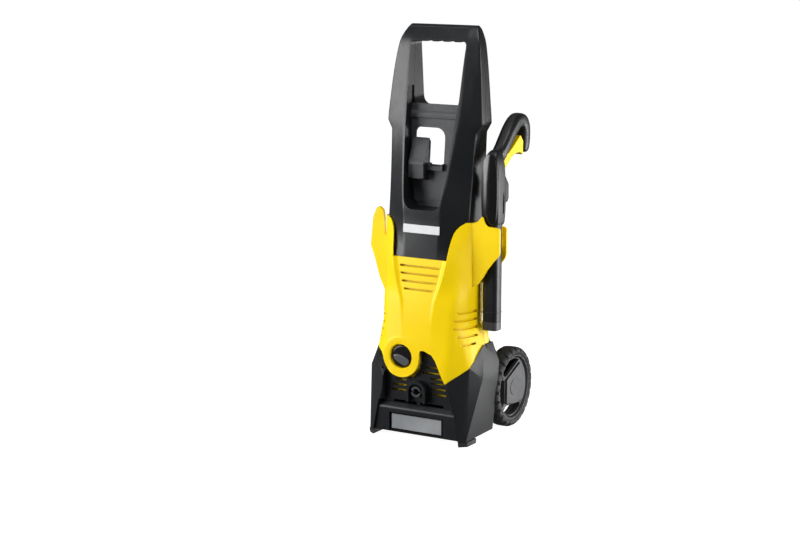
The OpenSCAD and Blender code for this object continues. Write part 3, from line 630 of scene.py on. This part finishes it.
def make_front_body():
    """Yellow front shell with its vents and the collar round the switch."""
    outer = sectioned("front_body", BODY, BODY_ROUND, 98, 362, step=6)
    inner = sectioned("inner", BODY, BODY_ROUND, 90, 370, step=6, grow=-WALL)
    cut(outer, inner)
    keep(outer, prism("zone", ABOVE_EDGE, "Y", -10, 66))
    cut(outer, prism("arm", rounded(ARM_CONTOUR, [0, 4, 4, 4, 4, 0, 0, 0, 0, 4, 4, 4, 4, 0]), "Y", -10, 61),
        disc_y("ring_hole", 21, SWITCH_X, SWITCH_Z, -10, 40))
    cut(outer, *vents())
    profile = [(COLLAR_RADIUS, 9.5), (COLLAR_RADIUS, 4.2), (33.4, 3.2), (32, 2.7), (28, 2.5), (23, 2.5),
               (21.4, 2.8), (20.5, 3.6), (20, 4.6), (20, 11), (23, 11), (23, 6), (31.5, 6), (31.5, 9.5)]
    add(outer, revolve("ring", profile, "Y", (SWITCH_X, 0, SWITCH_Z)))
    finish_piece(outer, "machine", "yellow_plastic", ["front_shell"], width=0.9, angle=38)


# Screws that hold the rear shell, as X, Z and Y.
SHELL_SCREWS = [(-40, 182, 110), (40, 182, 110), (-46, 300, 116), (46, 300, 116)]


def make_rear_body():
    """Yellow rear shell with six louvres and its screw holes."""
    outer = sectioned("rear_body", BODY, BODY_ROUND, 161, 330, step=6)
    inner = sectioned("inner", BODY, BODY_ROUND, 150, 340, step=6, grow=-WALL)
    cut(outer, inner)
    keep(outer, block("zone", (-140, 66.4, 161), (140, 140, 330)))
    cut(outer, *[slot_cutter("louvre", -34, 34, 201.5 + 13 * k, 3.4, 100, 140) for k in range(6)])
    for x, z, y in SHELL_SCREWS:
        cut(outer, disc_y("hole", 3.7, x, z, y - 12, y + 20, 32))
    finish_piece(outer, "machine", "yellow_plastic", ["rear_shell"], width=0.9, angle=38)


# Outlines of the accessory holders as X and Z.
LEFT_HOLDER = ([(-77, 205), (-77, 360), (-88, 346), (-89, 330)] + arc(-95.5, 326, 6.5, 0, -180, 8)
               + [(-103, 350), (-105, 364)] + arc(-112, 362, 7, 90, 180, 4)
               + [(-124, 352), (-129, 303), (-122, 284), (-112, 250), (-100, 225)])
HOLSTER_FRONT = [(78, 256), (91, 262), (97, 271), (107, 288), (117, 301), (129, 313), (129, 357),
                 (106, 358), (102, 362), (97, 374), (89, 364), (78, 361)]
HOLSTER_BACK = [(78, 262), (92, 268), (118, 304), (118, 351), (78, 358)]


def make_vent_backing():
    """Inner wall that shows through the ventilation slots."""
    outer = sectioned("vent_backing", BODY, BODY_ROUND, 150, 300, step=12, grow=-6)
    cut(outer, sectioned("inner", BODY, BODY_ROUND, 140, 310, step=12, grow=-7))
    finish_piece(outer, "machine", "yellow_plastic", width=0)


def make_holders():
    """Accessory holder on the left and the gun's holster on the right."""
    left = prism("side_holder", rounded(LEFT_HOLDER, 3, 3), "Y", 78, 84)
    add(left, block("web", (-88, 60, 228), (-82, 79, 348)))
    finish_piece(left, "machine", "yellow_plastic", ["left_holder"], width=1.4, segments=3)
    right = prism("gun_holster", rounded(HOLSTER_FRONT, [0, 6, 6, 6, 6, 5, 4, 3, 3, 2, 5, 0], 3), "Y", 45, 49)
    add(right, prism("hb", rounded(HOLSTER_BACK, [0, 4, 6, 4, 0], 3), "Y", 91, 95),
        block("hw", (82.6, 47, 262), (88, 93, 352)), block("rib", (99, 80.8, 318), (111, 92, 357.7)))
    finish_piece(right, "machine", "yellow_plastic", ["right_holster"], width=1.0, segments=3)


# ---- Base ----

# Corners of the right leg, half of them hidden in the body of the base.
LEG = [(59.7, 0, 98), (80, 0, 8), (90, 9, 8), (104.7, 38.8, 109), (86.9, 25.3, 127.4), (56, 0, 102),
       (95, 61, 160), (92, 98, 158), (100, 106, 124), (103, 96, 99), (94, 96, 10), (60, 30, 8),
       (60, 96, 8), (60, 98, 158), (60, 61, 158), (56, 30, 102), (60, 100, 124)]
# Side outline of the base as Y and Z, outside and inside.
TUB = [(18, 8), (18, 120), (26, 156), (98, 158), (121, 159), (132, 146), (152, 127), (178, 108), (184, 92),
       (184, 66), (172, 30), (150, 8)]
TUB_IN = [(10, 40), (10, 170), (118, 170), (119, 156.6), (130, 143.8), (150, 124.8), (175.6, 106), (181, 91),
          (181, 66), (169, 33), (148, 11), (40, 11)]
# Half width of the base between the wheels, and the reach of the cutters for its wheel arches.
TUB_X, ARCH_RADIUS, ARCH_END = 72, 69.7, 130
# Width of the dark line between the yellow front and the base.
SHADOW_GAP = 1.5


def hull(name, points):
    """Smallest solid with flat faces round a set of points."""
    obj = new_object(name, points, [])
    bm = bmesh.new()
    bm.from_mesh(obj.data)
    made = bmesh.ops.convex_hull(bm, input=bm.verts)
    bmesh.ops.delete(bm, geom=[g for g in made["geom_interior"] if isinstance(g, bmesh.types.BMVert)],
                     context="VERTS")
    bmesh.ops.dissolve_limit(bm, angle_limit=math.radians(0.5), verts=bm.verts, edges=bm.edges)
    bmesh.ops.recalc_face_normals(bm, faces=bm.faces)
    bm.to_mesh(obj.data)
    bm.free()
    return obj


def make_base():
    """Black base with its two front legs, wheel arches and the seat of the yellow shells."""
    legs = [hull(f"leg{side}", [(side * x, y, z) for x, y, z in LEG]) for side in (-1, 1)]
    tub = prism("base_body", rounded(TUB, [2, 8, 12, 14, 5, 10, 12, 8, 8, 14, 16, 8], 5), "X", -TUB_X, TUB_X)
    add(tub, *legs)
    cut(tub, prism("in", TUB_IN, "X", -TUB_X + WALL, TUB_X - WALL),
        block("front", (-61, -2, 60), (61, 30, 163)))
    axle_low, axle_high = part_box("axle")
    axle_y = (axle_low[1] + axle_high[1]) / 2 / MM - FRONT
    axle_z = (axle_low[2] + axle_high[2]) / 2 / MM
    boss_end = TUB_X + 0.4
    add(tub, disc_x("boss", 11, axle_y, axle_z, -boss_end, boss_end))
    cut(tub, disc_x("arch", ARCH_RADIUS, axle_y, axle_z, boss_end, ARCH_END, 96),
        disc_x("arch", ARCH_RADIUS, axle_y, axle_z, -ARCH_END, -boss_end, 96),
        disc_x("bore", 5.4, axle_y, axle_z, -80, 80),
        prism("panel", [(-79.8, 6), (79.8, 6), (69.4, 62), (-69.4, 62)], "Y", -3, 18.4),
        disc_y("inlet", 10.4, 0, 100, 160, 200), disc_y("gland", 6.4, 45, 105, 160, 200))
    body = sectioned("yellow", BODY, BODY_ROUND, 92, 362, step=12, grow=SHADOW_GAP)
    keep(body, prism("zone", [(x, z - SHADOW_GAP) for x, z in ABOVE_EDGE], "Y", -12, 70))
    back = sectioned("yellow_back", BODY, BODY_ROUND, 161, 362, step=12, grow=0.6)
    cut(tub, body, back)
    finish_piece(tub, "machine", "charcoal_plastic", ["base_housing"], width=1.6, segments=3, angle=20)


# Slots of the grille as height, left end and right end, and how high each is.
GRILLE_SLOT = 3.4
GRILLE_ROWS = [(123, 13, 34), (114, 7, 39), (105, 22, 43), (97, 23, 46), (88, 23, 50), (97, -43, -23),
               (88, -48, -23), (79, -50, -23), (79, 23, 52)]


def make_grille():
    """Front panel with its slots, the blank label ringed by painted shade in black, and the yellow wall
    behind the slots.
    """
    plate = prism("front_panel", [(-77, 9), (77, 9), (59, 98), (59, 118), (40, 151), (9, 151), (3, 118),
                                  (-12, 100), (-40, 106), (-68, 128), (-68, 98)], "Y", 13, 16)
    side = [(4, 9), (16, 9), (16, 58), (12, 58), (4, 50)]
    lower = prism("lower", rounded(side, [1, 0, 0, 3, 3]), "X", -80, 80)
    keep(lower, prism("ends", [(-79.2, 8), (79.2, 8), (69.6, 60), (-69.6, 60)], "Y", 0, 20))
    add(plate, lower)
    cutters = [plate_y("recess", -50.5, 50.5, 11.4, 41.6, 2, 2, 8),
               disc_y("hole", 11.2, 0, OUTLET_Z, 5, 20)]
    for side in (-1, 1):
        x0, x1 = sorted((side * 3, side * 47))
        cutters.append(slot_cutter("slot", x0, x1, 60, 4.4, 8, 20))
    cutters += [slot_cutter("row", x0, x1, z, GRILLE_SLOT, 8, 20) for z, x0, x1 in GRILLE_ROWS]
    cut(plate, *cutters)
    finish_piece(plate, "machine", "charcoal_plastic", ["front_grille"], width=0.7)
    # Black sheet inside the label recess: painted shade that stands in for the recess's shadow round the
    # label.
    shade_sheet = plate_y("label_shade_sheet", -50.4, 50.4, 11.5, 41.5, 2, 7.2, 8.2)
    finish_piece(shade_sheet, "machine", "recess_shade_black", width=0)
    label = plate_y("rating_label", -47, 46, 14, 38.6, 1, 6.3, 7.3)
    finish_piece(label, "machine", "pale_label", ["rating_plate"], width=0.2)
    backing = prism("grille_backing", [(-58, 63), (58, 63), (58, 120), (38, 148), (9, 148), (0, 118),
                                       (-58, 97)], "Y", 21.6, 22.6)
    cut(backing, disc_y("b", 14, 0, OUTLET_Z, 10, 30), disc_y("b", 24, SWITCH_X, SWITCH_Z, 10, 30))
    finish_piece(backing, "machine", "yellow_plastic", width=0.3)


def make_outlet():
    """Horseshoe round the water outlet."""
    shape = [(18, 64)] + arc(0, OUTLET_Z, 18, 0, 180, 24) + [(-18, 64)]
    body = prism("outlet_horseshoe", shape, "Y", 1.5, 12.8)
    cut(body, disc_y("pocket", 13, 0, OUTLET_Z, -2, 9.6), block("mouth", (-13, -2, 62), (13, 9.6, OUTLET_Z)),
        disc_y("hole", 9.4, 0, OUTLET_Z, 5, 20))
    finish_piece(body, "machine", "charcoal_plastic", ["outlet_surround"], width=1.2, segments=3)


# ---- Wheels ----

# X of a wheel's inner and outer side.
WHEEL_IN, WHEEL_OUT = 75.0, 103.0
# Steps of the whole tread, of a block with its groove, and of the groove alone.
TREAD_STEPS, BLOCK_STEPS, GROOVE_STEPS, STAGGER = 240, 10, 3, 3
# Depth of the groove at each point of the tyre's profile that has one.
GROOVES = {3: 1.8, 4: 3.4, 5: 3.0, 8: 3.0, 9: 4.2, 10: 3.2, 11: 1.6}
# Openings of the disc, as Y and Z from the axle: above the front, at the front and below.
WHEEL_OPENINGS = [arc(0, 0, 48, 59.3, 142, 12) + [(-25.3, 21.1)],
                  arc(0, 0, 48, 150.5, 218.5, 10) + [(-29, -22.5), (-29, 15.5)],
                  arc(0, 0, 48, 227.5, 308, 12) + [(27, -32), (-22, -28.5)]]


def wheel_centre():
    """Middle of the wheels, from the CAD tyre."""
    low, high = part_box("right_tyre")
    return (0, (low[1] + high[1]) / 2 / MM - FRONT, (low[2] + high[2]) / 2 / MM)


def wheel_face():
    """Raised face of the disc: round, with a flat beside each opening."""
    points = []
    for k in range(120):
        angle, radius = 3.0 * k, 44.5
        for normal, distance in ((112, 25.5), (180, 25.5), (266, 26.5)):
            facing = math.cos(math.radians(angle - normal))
            radius = min(radius, distance / facing) if facing > 0.1 else radius
        points.append((radius * math.cos(math.radians(angle)), radius * math.sin(math.radians(angle))))
    return points


def tread_groove(point, step):
    """How deep the tyre is cut there; the grooves of its outer half are staggered."""
    phase = (step + (STAGGER if point > 6 else 0)) % BLOCK_STEPS
    return GROOVES.get(point, 0) if phase < GROOVE_STEPS else 0


def make_wheels():
    """Right wheel of tyre, disc, face and cap, and the left one as its mirror image."""
    centre = wheel_centre()
    x0, x1 = WHEEL_IN, WHEEL_OUT
    tread = [(55.7, x0 + 2), (58, x0 + 0.4), (62, x0), (65, x0 + 1), (66.6, x0 + 3), (67.4, x0 + 7),
             (67.5, x0 + 11), (67.5, x0 + 17), (67.4, x0 + 21), (66.4, x1 - 4), (64.4, x1 - 1.4), (61.5, x1),
             (58.5, x1 - 0.3), (55.7, x1 - 2)]
    tyre = revolve("right_tyre_tread", tread, "X", centre, TREAD_STEPS, tread_groove)
    ring = revolve("ring", [(49.5, x0 + 3), (55.6, x0 + 2.4), (55.6, x1 - 3), (54.6, x1 - 2), (52.6, x1 - 2),
                            (51.2, x1 - 3.4), (49.5, x1 - 9)], "X", centre, 128)
    plate = disc_x("plate", 50, centre[1], centre[2], x1 - 12, x1 - 6, 96)
    for outline in WHEEL_OPENINGS:
        shape = rounded([(centre[1] + y, centre[2] + z) for y, z in outline], 2.0, 3)
        cut(plate, prism("opening", shape, "X", x1 - 20, x1))
    face = prism("right_wheel_face", [(centre[1] + y, centre[2] + z) for y, z in wheel_face()], "X",
                 x1 - 7, x1 - 2.6)
    hub = disc_x("hub", 13.4, centre[1], centre[2], x0 + 1, x1 - 6)
    disc = add(ring, plate, hub)
    cut(disc, disc_x("bore", 5.06, centre[1], centre[2], 60, 110))
    disc.name = "right_wheel_rim"
    cap = revolve("right_cap", [(0.6, x1 - 4.4), (13.5, x1 - 4.2), (13.5, x1 - 2.4), (13, x1 - 1.8),
                                (0.6, x1 - 1.7)], "X", centre, 64)
    for obj, mat, node, width in ((tyre, "tyre_rubber", "tyre", 0), (disc, "grey_plastic", "wheel_disc", 0.5),
                                  (face, "grey_plastic", "wheel_disc", 1.0),
                                  (cap, "grey_plastic", "hub_cap", 0)):
        for poly in obj.data.polygons:
            poly.use_smooth = True
        twin = mirror_copy(obj, obj.name.replace("right", "left"))
        for made, side in ((obj, "right"), (twin, "left")):
            finish_piece(made, f"{side}_wheel", mat, [f"{side}_{node}"], width=width)
            if not width:
                made.data.set_sharp_from_angle(angle=math.radians(35))


def make_wheel_shields():
    """Flat cheeks of the base behind the upper half of each wheel."""
    centre = wheel_centre()
    ends = arc(centre[1], centre[2], 60, -22, 202, 48)
    near, far = TUB_X + 0.4, TUB_X + 1.8
    for name, x0, x1 in (("right", near, far), ("left", -far, -near)):
        cheek = prism(f"{name}_wheel_shield", ends, "X", x0, x1)
        finish_piece(cheek, "machine", "charcoal_plastic", width=0.4)


# ---- Controls ----

def make_knob():
    """Round switch with its grip, which turns with it."""
    profile = [(0.5, 5.6), (15, 5.6), (17.6, 6.2), (18.5, 7.6), (18.6, 13), (0.5, 13)]
    body = revolve("switch_dial", profile, "Y", (SWITCH_X, 0, SWITCH_Z), 72)
    finish_piece(body, "knob", "gloss_black_plastic", ["switch_knob"], width=0.7, segments=3)
    outline = [(-42, 140), (-30, 141), (-14, 134), (-13, 127), (-20, 122.5), (-32, 127), (-41, 133)]
    # The grip's light grey is partly its own colour and partly a painted reflection.
    grip = prism("switch_grip", rounded(outline, [3, 6, 3, 3, 3, 6, 3]), "Y", 2.2, 6.4)
    finish_piece(grip, "knob", "pointer_grey", width=1.2, segments=3)


# ---- Gun ----

def rounded_box_ring(x_half, y0, y1, z, r, steps=5):
    """Level outline with rounded corners in the gun's middle plane."""
    outline = rounded([(-x_half, y0), (x_half, y0), (x_half, y1), (-x_half, y1)], r, steps)
    return [(GUN_X + x, y, z) for x, y in outline]


def column(name, x_half, y0, y1, z0, z1, r):
    """Upright bar of the gun with the same outline all the way."""
    return loft(name, [rounded_box_ring(x_half, y0, y1, z, r) for z in (z0, z1)])


# Groove in the side of the gun as Y and Z.
SLIT = [(73.5, 376), (77.5, 376), (79, 402), (76, 413), (73.5, 402)]
# Middle line of the handle as Y and Z, then its width and its thickness.
GRIP_POINTS = [(76, 462, 20, 22), (84, 467.5, 21, 23), (95, 476.5, 22.6, 21), (108, 489, 23.4, 21),
               (123, 503, 24, 22), (138.5, 514, 24, 23), (152, 518.4, 24, 23.4), (163.5, 515, 24, 23.4),
               (170.5, 505, 23.6, 23), (172, 492, 23, 22.4), (171.6, 481, 22.6, 21.6), (170.8, 472, 21, 20.4),
               (170.6, 467, 18, 17.4), (170.5, 464.6, 13, 12)]


def make_grip_inlay():
    """Smooth strip let into the back of the handle."""
    path, moved = smooth_path(GRIP_POINTS, 5)[4:34], []
    for i, (y, z, width, thickness) in enumerate(path):
        along = direction(path, i)
        lift = math.sin(math.pi * i / (len(path) - 1)) ** 0.4
        moved.append((y - along.y * lift, z + along.x * lift, 0.7 * width, thickness - 1))
    finish_piece(swept("gun_handle_strip", moved), "gun", "soft_rubber", ["gun_grip_inlay"], width=0)


# Body of the gun at each height: half width, front, back and corner radius.
GUN_ROWS = [(358, 12.6, 58, 84, 5), (362, 14.2, 56.4, 85.6, 6), (376, 14.9, 55, 87.5, 7),
            (392, 15, 54.2, 88.4, 7), (410, 15, 54, 88.6, 7), (430, 15, 54.4, 87, 7),
            (444, 14.8, 55.2, 85.4, 7), (454, 14.2, 56.4, 84.6, 7), (463, 12.8, 58.4, 84.6, 7),
            (470, 10.8, 61, 84, 6), (475, 8.4, 65, 82.4, 5), (478, 5.6, 69, 80, 3)]
# Bulge of the hose port at each height: half width and back.
PORT_ROWS = [(391.6, 10, 97), (394, 12.2, 99.6), (398, 13, 101), (420, 13, 101), (424, 12.6, 99.4),
             (432, 11.8, 94), (440, 11, 87)]
# Slot for the trigger in the handle as Y and Z.
TRIGGER_SLOT = [(86, 458), (86, 471), (100, 483), (118, 498), (140, 509), (151, 510), (157, 503), (158, 487),
                (150, 497), (140, 489), (124, 479), (103, 465), (93, 458)]


def make_gun_body():
    """Body and handle of the gun in one, with the trigger's slot, the hose port and a groove on each side."""
    heights, rings = [row[0] for row in GUN_ROWS], []
    for low, high in zip(heights, heights[1:]):
        for k in range(3):
            z = low + (high - low) * k / 3
            w, y0, y1, r = (monotone(heights, [row[c] for row in GUN_ROWS], z) for c in (1, 2, 3, 4))
            rings.append(rounded_box_ring(w, y0, y1, z, r))
    z, w, y0, y1, r = GUN_ROWS[-1]
    rings.append(rounded_box_ring(w, y0, y1, z, r))
    body = loft("gun_body", rings)
    port = loft("port", [rounded_box_ring(w, 80, y1, z, 5) for z, w, y1 in PORT_ROWS])
    add(body, port, swept("grip", smooth_path(GRIP_POINTS, 5)))
    cut(body, prism("hollow", TRIGGER_SLOT, "X", GUN_X - 8.6, GUN_X + 8.6),
        block("button", (GUN_X - 6.4, 88, 397.6), (GUN_X + 6.4, 110, 414.4)),
        disc_z("port", 6.6, GUN_X, 93.6, 385, 397),
        prism("slit", rounded(SLIT, 1.6), "X", GUN_X + 13, GUN_X + 18),
        prism("slit", rounded(SLIT, 1.6), "X", GUN_X - 18, GUN_X - 13))
    finish_piece(body, "gun", "charcoal_plastic", ["gun_left_housing", "gun_right_housing"], width=0.7,
                 angle=40)


# Half width of the oval cap at each height.
COVER_ROWS = [(359.4, 7.5), (361, 9.6), (366, 11.4), (376, 13), (392, 13.8), (412, 14.1), (430, 14),
              (444, 13.4), (454, 12.2), (462, 10.2), (468, 7.6), (471.4, 5), (473, 2.4)]


def make_gun_cover():
    """Long oval cap, curved across its width."""
    heights, halves, rings = [row[0] for row in COVER_ROWS], [row[1] for row in COVER_ROWS], []
    low, high = heights[0], heights[-1]
    for z in [low + (high - low) * k / 40 for k in range(41)]:
        half = monotone(heights, halves, z)
        face = 50.4 + 4.2 * (abs(z - 412) / 61) ** 3
        front = [(GUN_X + half * t / 8, face + 3.6 * (half * t / 8 / 14) ** 2, z) for t in range(-8, 9)]
        rings.append(front + [(GUN_X + half, 60, z), (GUN_X - half, 60, z)])
    plate = loft("gun_front_cover", rings)
    finish_piece(plate, "gun", "gloss_black_plastic", ["gun_cover"], width=0.5)


# Radius of the bore in the barrel and in the nozzle socket.
BORE = 8


def make_gun_barrel():
    """Barrel with a band at each end, and the nozzle socket with its two bayonet slots."""
    barrel = column("gun_tube", 13.5, 56, 80, 200.4, 360, 8)
    for z in (214, 340):
        add(barrel, column("band", 13.9, 55.6, 80.4, z, z + 2.6, 8))
    cut(barrel, disc_z("bore", BORE, GUN_X, BARREL_Y, 190, 330))
    finish_piece(barrel, "gun", "charcoal_plastic", ["gun_barrel"], width=0.6)
    socket = column("gun_socket", 13.5, 56, 80, 186, 200, 8)
    keys = [block("key", (x - 2.5, BARREL_Y - 2, 180), (x + 2.5, BARREL_Y + 2, 194))
            for x in (GUN_X - 9, GUN_X + 9)]
    cut(socket, disc_z("bore", BORE, GUN_X, BARREL_Y, 180, 205), *keys)
    finish_piece(socket, "gun", "grey_plastic", ["nozzle_socket"], width=0.7)


def make_trigger():
    """Trigger lever, and the button that lets the hose go."""
    side = [(88, 461), (97, 446.5), (112, 459), (131, 467), (148, 467), (159, 461), (159.4, 484), (149, 495),
            (124, 479), (104, 469), (95, 473), (88, 472)]
    lever = prism("trigger_lever", rounded(side, [3, 4, 10, 8, 4, 3, 3, 3, 8, 4, 3, 3], 4), "X",
                  GUN_X - 8, GUN_X + 8)
    finish_piece(lever, "trigger", "yellow_plastic", ["trigger"], width=2.2, segments=4)
    button = plate_y("hose_release_button", GUN_X - 6, GUN_X + 6, 398, 414, 1.5, 92, 105.4)
    finish_piece(button, "hose_release", "yellow_plastic", ["hose_button"], width=0.9, segments=3)


# ---- CAD nodes that stay as they are ----

def dress_cad_nodes():
    """Materials and softened edges for the CAD nodes that still show."""
    slots = {row["node"]: row["material_slot"] for row in frame["record"]["subparts"]}
    for name, obj in frame["nodes"].items():
        if obj.hide_render:
            continue
        obj.data.materials.clear()
        obj.data.materials.append(MATERIALS[slots[name]])
        soften(obj, 0.35, 2, 30)


# ---- Stage ----

FLOOR_SIZE = 60000
# The floor turns up into a backdrop at its far edges.
BACKDROP_HEIGHT = 30000
FLOOR_GLOW, AMBIENT = 0.96, 0.15
# Name, azimuth in degrees from the front towards the gun's side, height, distance, diameter and power.
LAMPS = [("key", -50, 0.9, 2.5, 2.0, 86), ("side", 84, 0.9, 2.4, 1.3, 45), ("rim", 130, -0.1, 2.3, 1.5, 42),
         ("top", 0, 2.7, 1.0, 1.2, 28)]
LAMP_TARGET = (0, 0, 0.32)
# Camera: direction that it looks from in degrees, distance in metres, lens and sensor, and point it looks at.
VIEW_AZIMUTH, VIEW_PITCH, VIEW_DISTANCE = 29.88, 11.37, 2.96
VIEW_LENS, SENSOR_WIDTH = 82.35, 36.0
VIEW_TARGET = (-27.7, 0, 277)


def make_stage():
    """Pale floor, faint even light all round, and the soft lamps."""
    corners = [(-FLOOR_SIZE, -FLOOR_SIZE), (FLOOR_SIZE, -FLOOR_SIZE), (FLOOR_SIZE, FLOOR_SIZE),
               (-FLOOR_SIZE, FLOOR_SIZE)]
    floor = new_object("floor", [(x, y, z) for z in (0, BACKDROP_HEIGHT) for x, y in corners],
                       [[0, 1, 2, 3]] + [[i, (i + 1) % 4, (i + 1) % 4 + 4, i + 4] for i in range(4)])
    mat, tree, shader, coords = node_material("pale_floor")
    tree.links.new(ramp(tree, noise(tree, coords, 3.0), (0.29, 0.29, 0.29), (0.31, 0.31, 0.31)),
                   shader.inputs["Base Color"])
    shader.inputs["Roughness"].default_value = 0.9
    shader.inputs["Specular IOR Level"].default_value = 0.0
    shader.inputs["Emission Color"].default_value = (1, 1, 1, 1)
    shader.inputs["Emission Strength"].default_value = FLOOR_GLOW
    floor.data.materials.append(mat)
    floor.visible_glossy = floor.visible_diffuse = floor.visible_shadow = False
    world = bpy.data.worlds.new("studio")
    bpy.context.scene.world = world
    world.use_nodes = True
    world.node_tree.nodes["Background"].inputs["Color"].default_value = (1, 1, 1, 1)
    world.node_tree.nodes["Background"].inputs["Strength"].default_value = AMBIENT
    for name, azimuth, height, distance, size, power in LAMPS:
        a = math.radians(azimuth)
        soft_light(name, (distance * math.sin(a), -distance * math.cos(a), height), size, power)
    bpy.context.scene.view_settings.view_transform = "Standard"


def soft_light(name, place, size, power):
    """Round lamp that faces the machine."""
    data = bpy.data.lights.new(name, "AREA")
    data.shape, data.size, data.energy = "DISK", size, power
    lamp = bpy.data.objects.new(name, data)
    lamp.location = place
    lamp.rotation_mode = "QUATERNION"
    lamp.rotation_quaternion = (Vector(LAMP_TARGET) - Vector(place)).to_track_quat("-Z", "Y")
    bpy.context.scene.collection.objects.link(lamp)


def make_camera():
    """Camera at the photograph's viewing angle."""
    data = bpy.data.cameras.new("camera")
    data.lens, data.sensor_width = VIEW_LENS, SENSOR_WIDTH
    cam = bpy.data.objects.new("camera", data)
    bpy.context.scene.collection.objects.link(cam)
    a, e = math.radians(VIEW_AZIMUTH), math.radians(VIEW_PITCH)
    back = Vector((math.sin(a) * math.cos(e), -math.cos(a) * math.cos(e), math.sin(e)))
    cam.location = Vector(metres(*VIEW_TARGET)) + back * VIEW_DISTANCE
    cam.rotation_mode = "QUATERNION"
    cam.rotation_quaternion = (-back).to_track_quat("-Z", "Y")
    bpy.context.scene.camera = cam


make_camera()
make_tower()
make_recess_panel()
make_badge()
make_shelf()
make_grip()
make_front_body()
make_rear_body()
make_vent_backing()
make_holders()
make_base()
make_grille()
make_outlet()
make_wheels()
make_wheel_shields()
make_knob()
make_gun_body()
make_grip_inlay()
make_gun_cover()
make_gun_barrel()
make_trigger()
dress_cad_nodes()
make_stage()
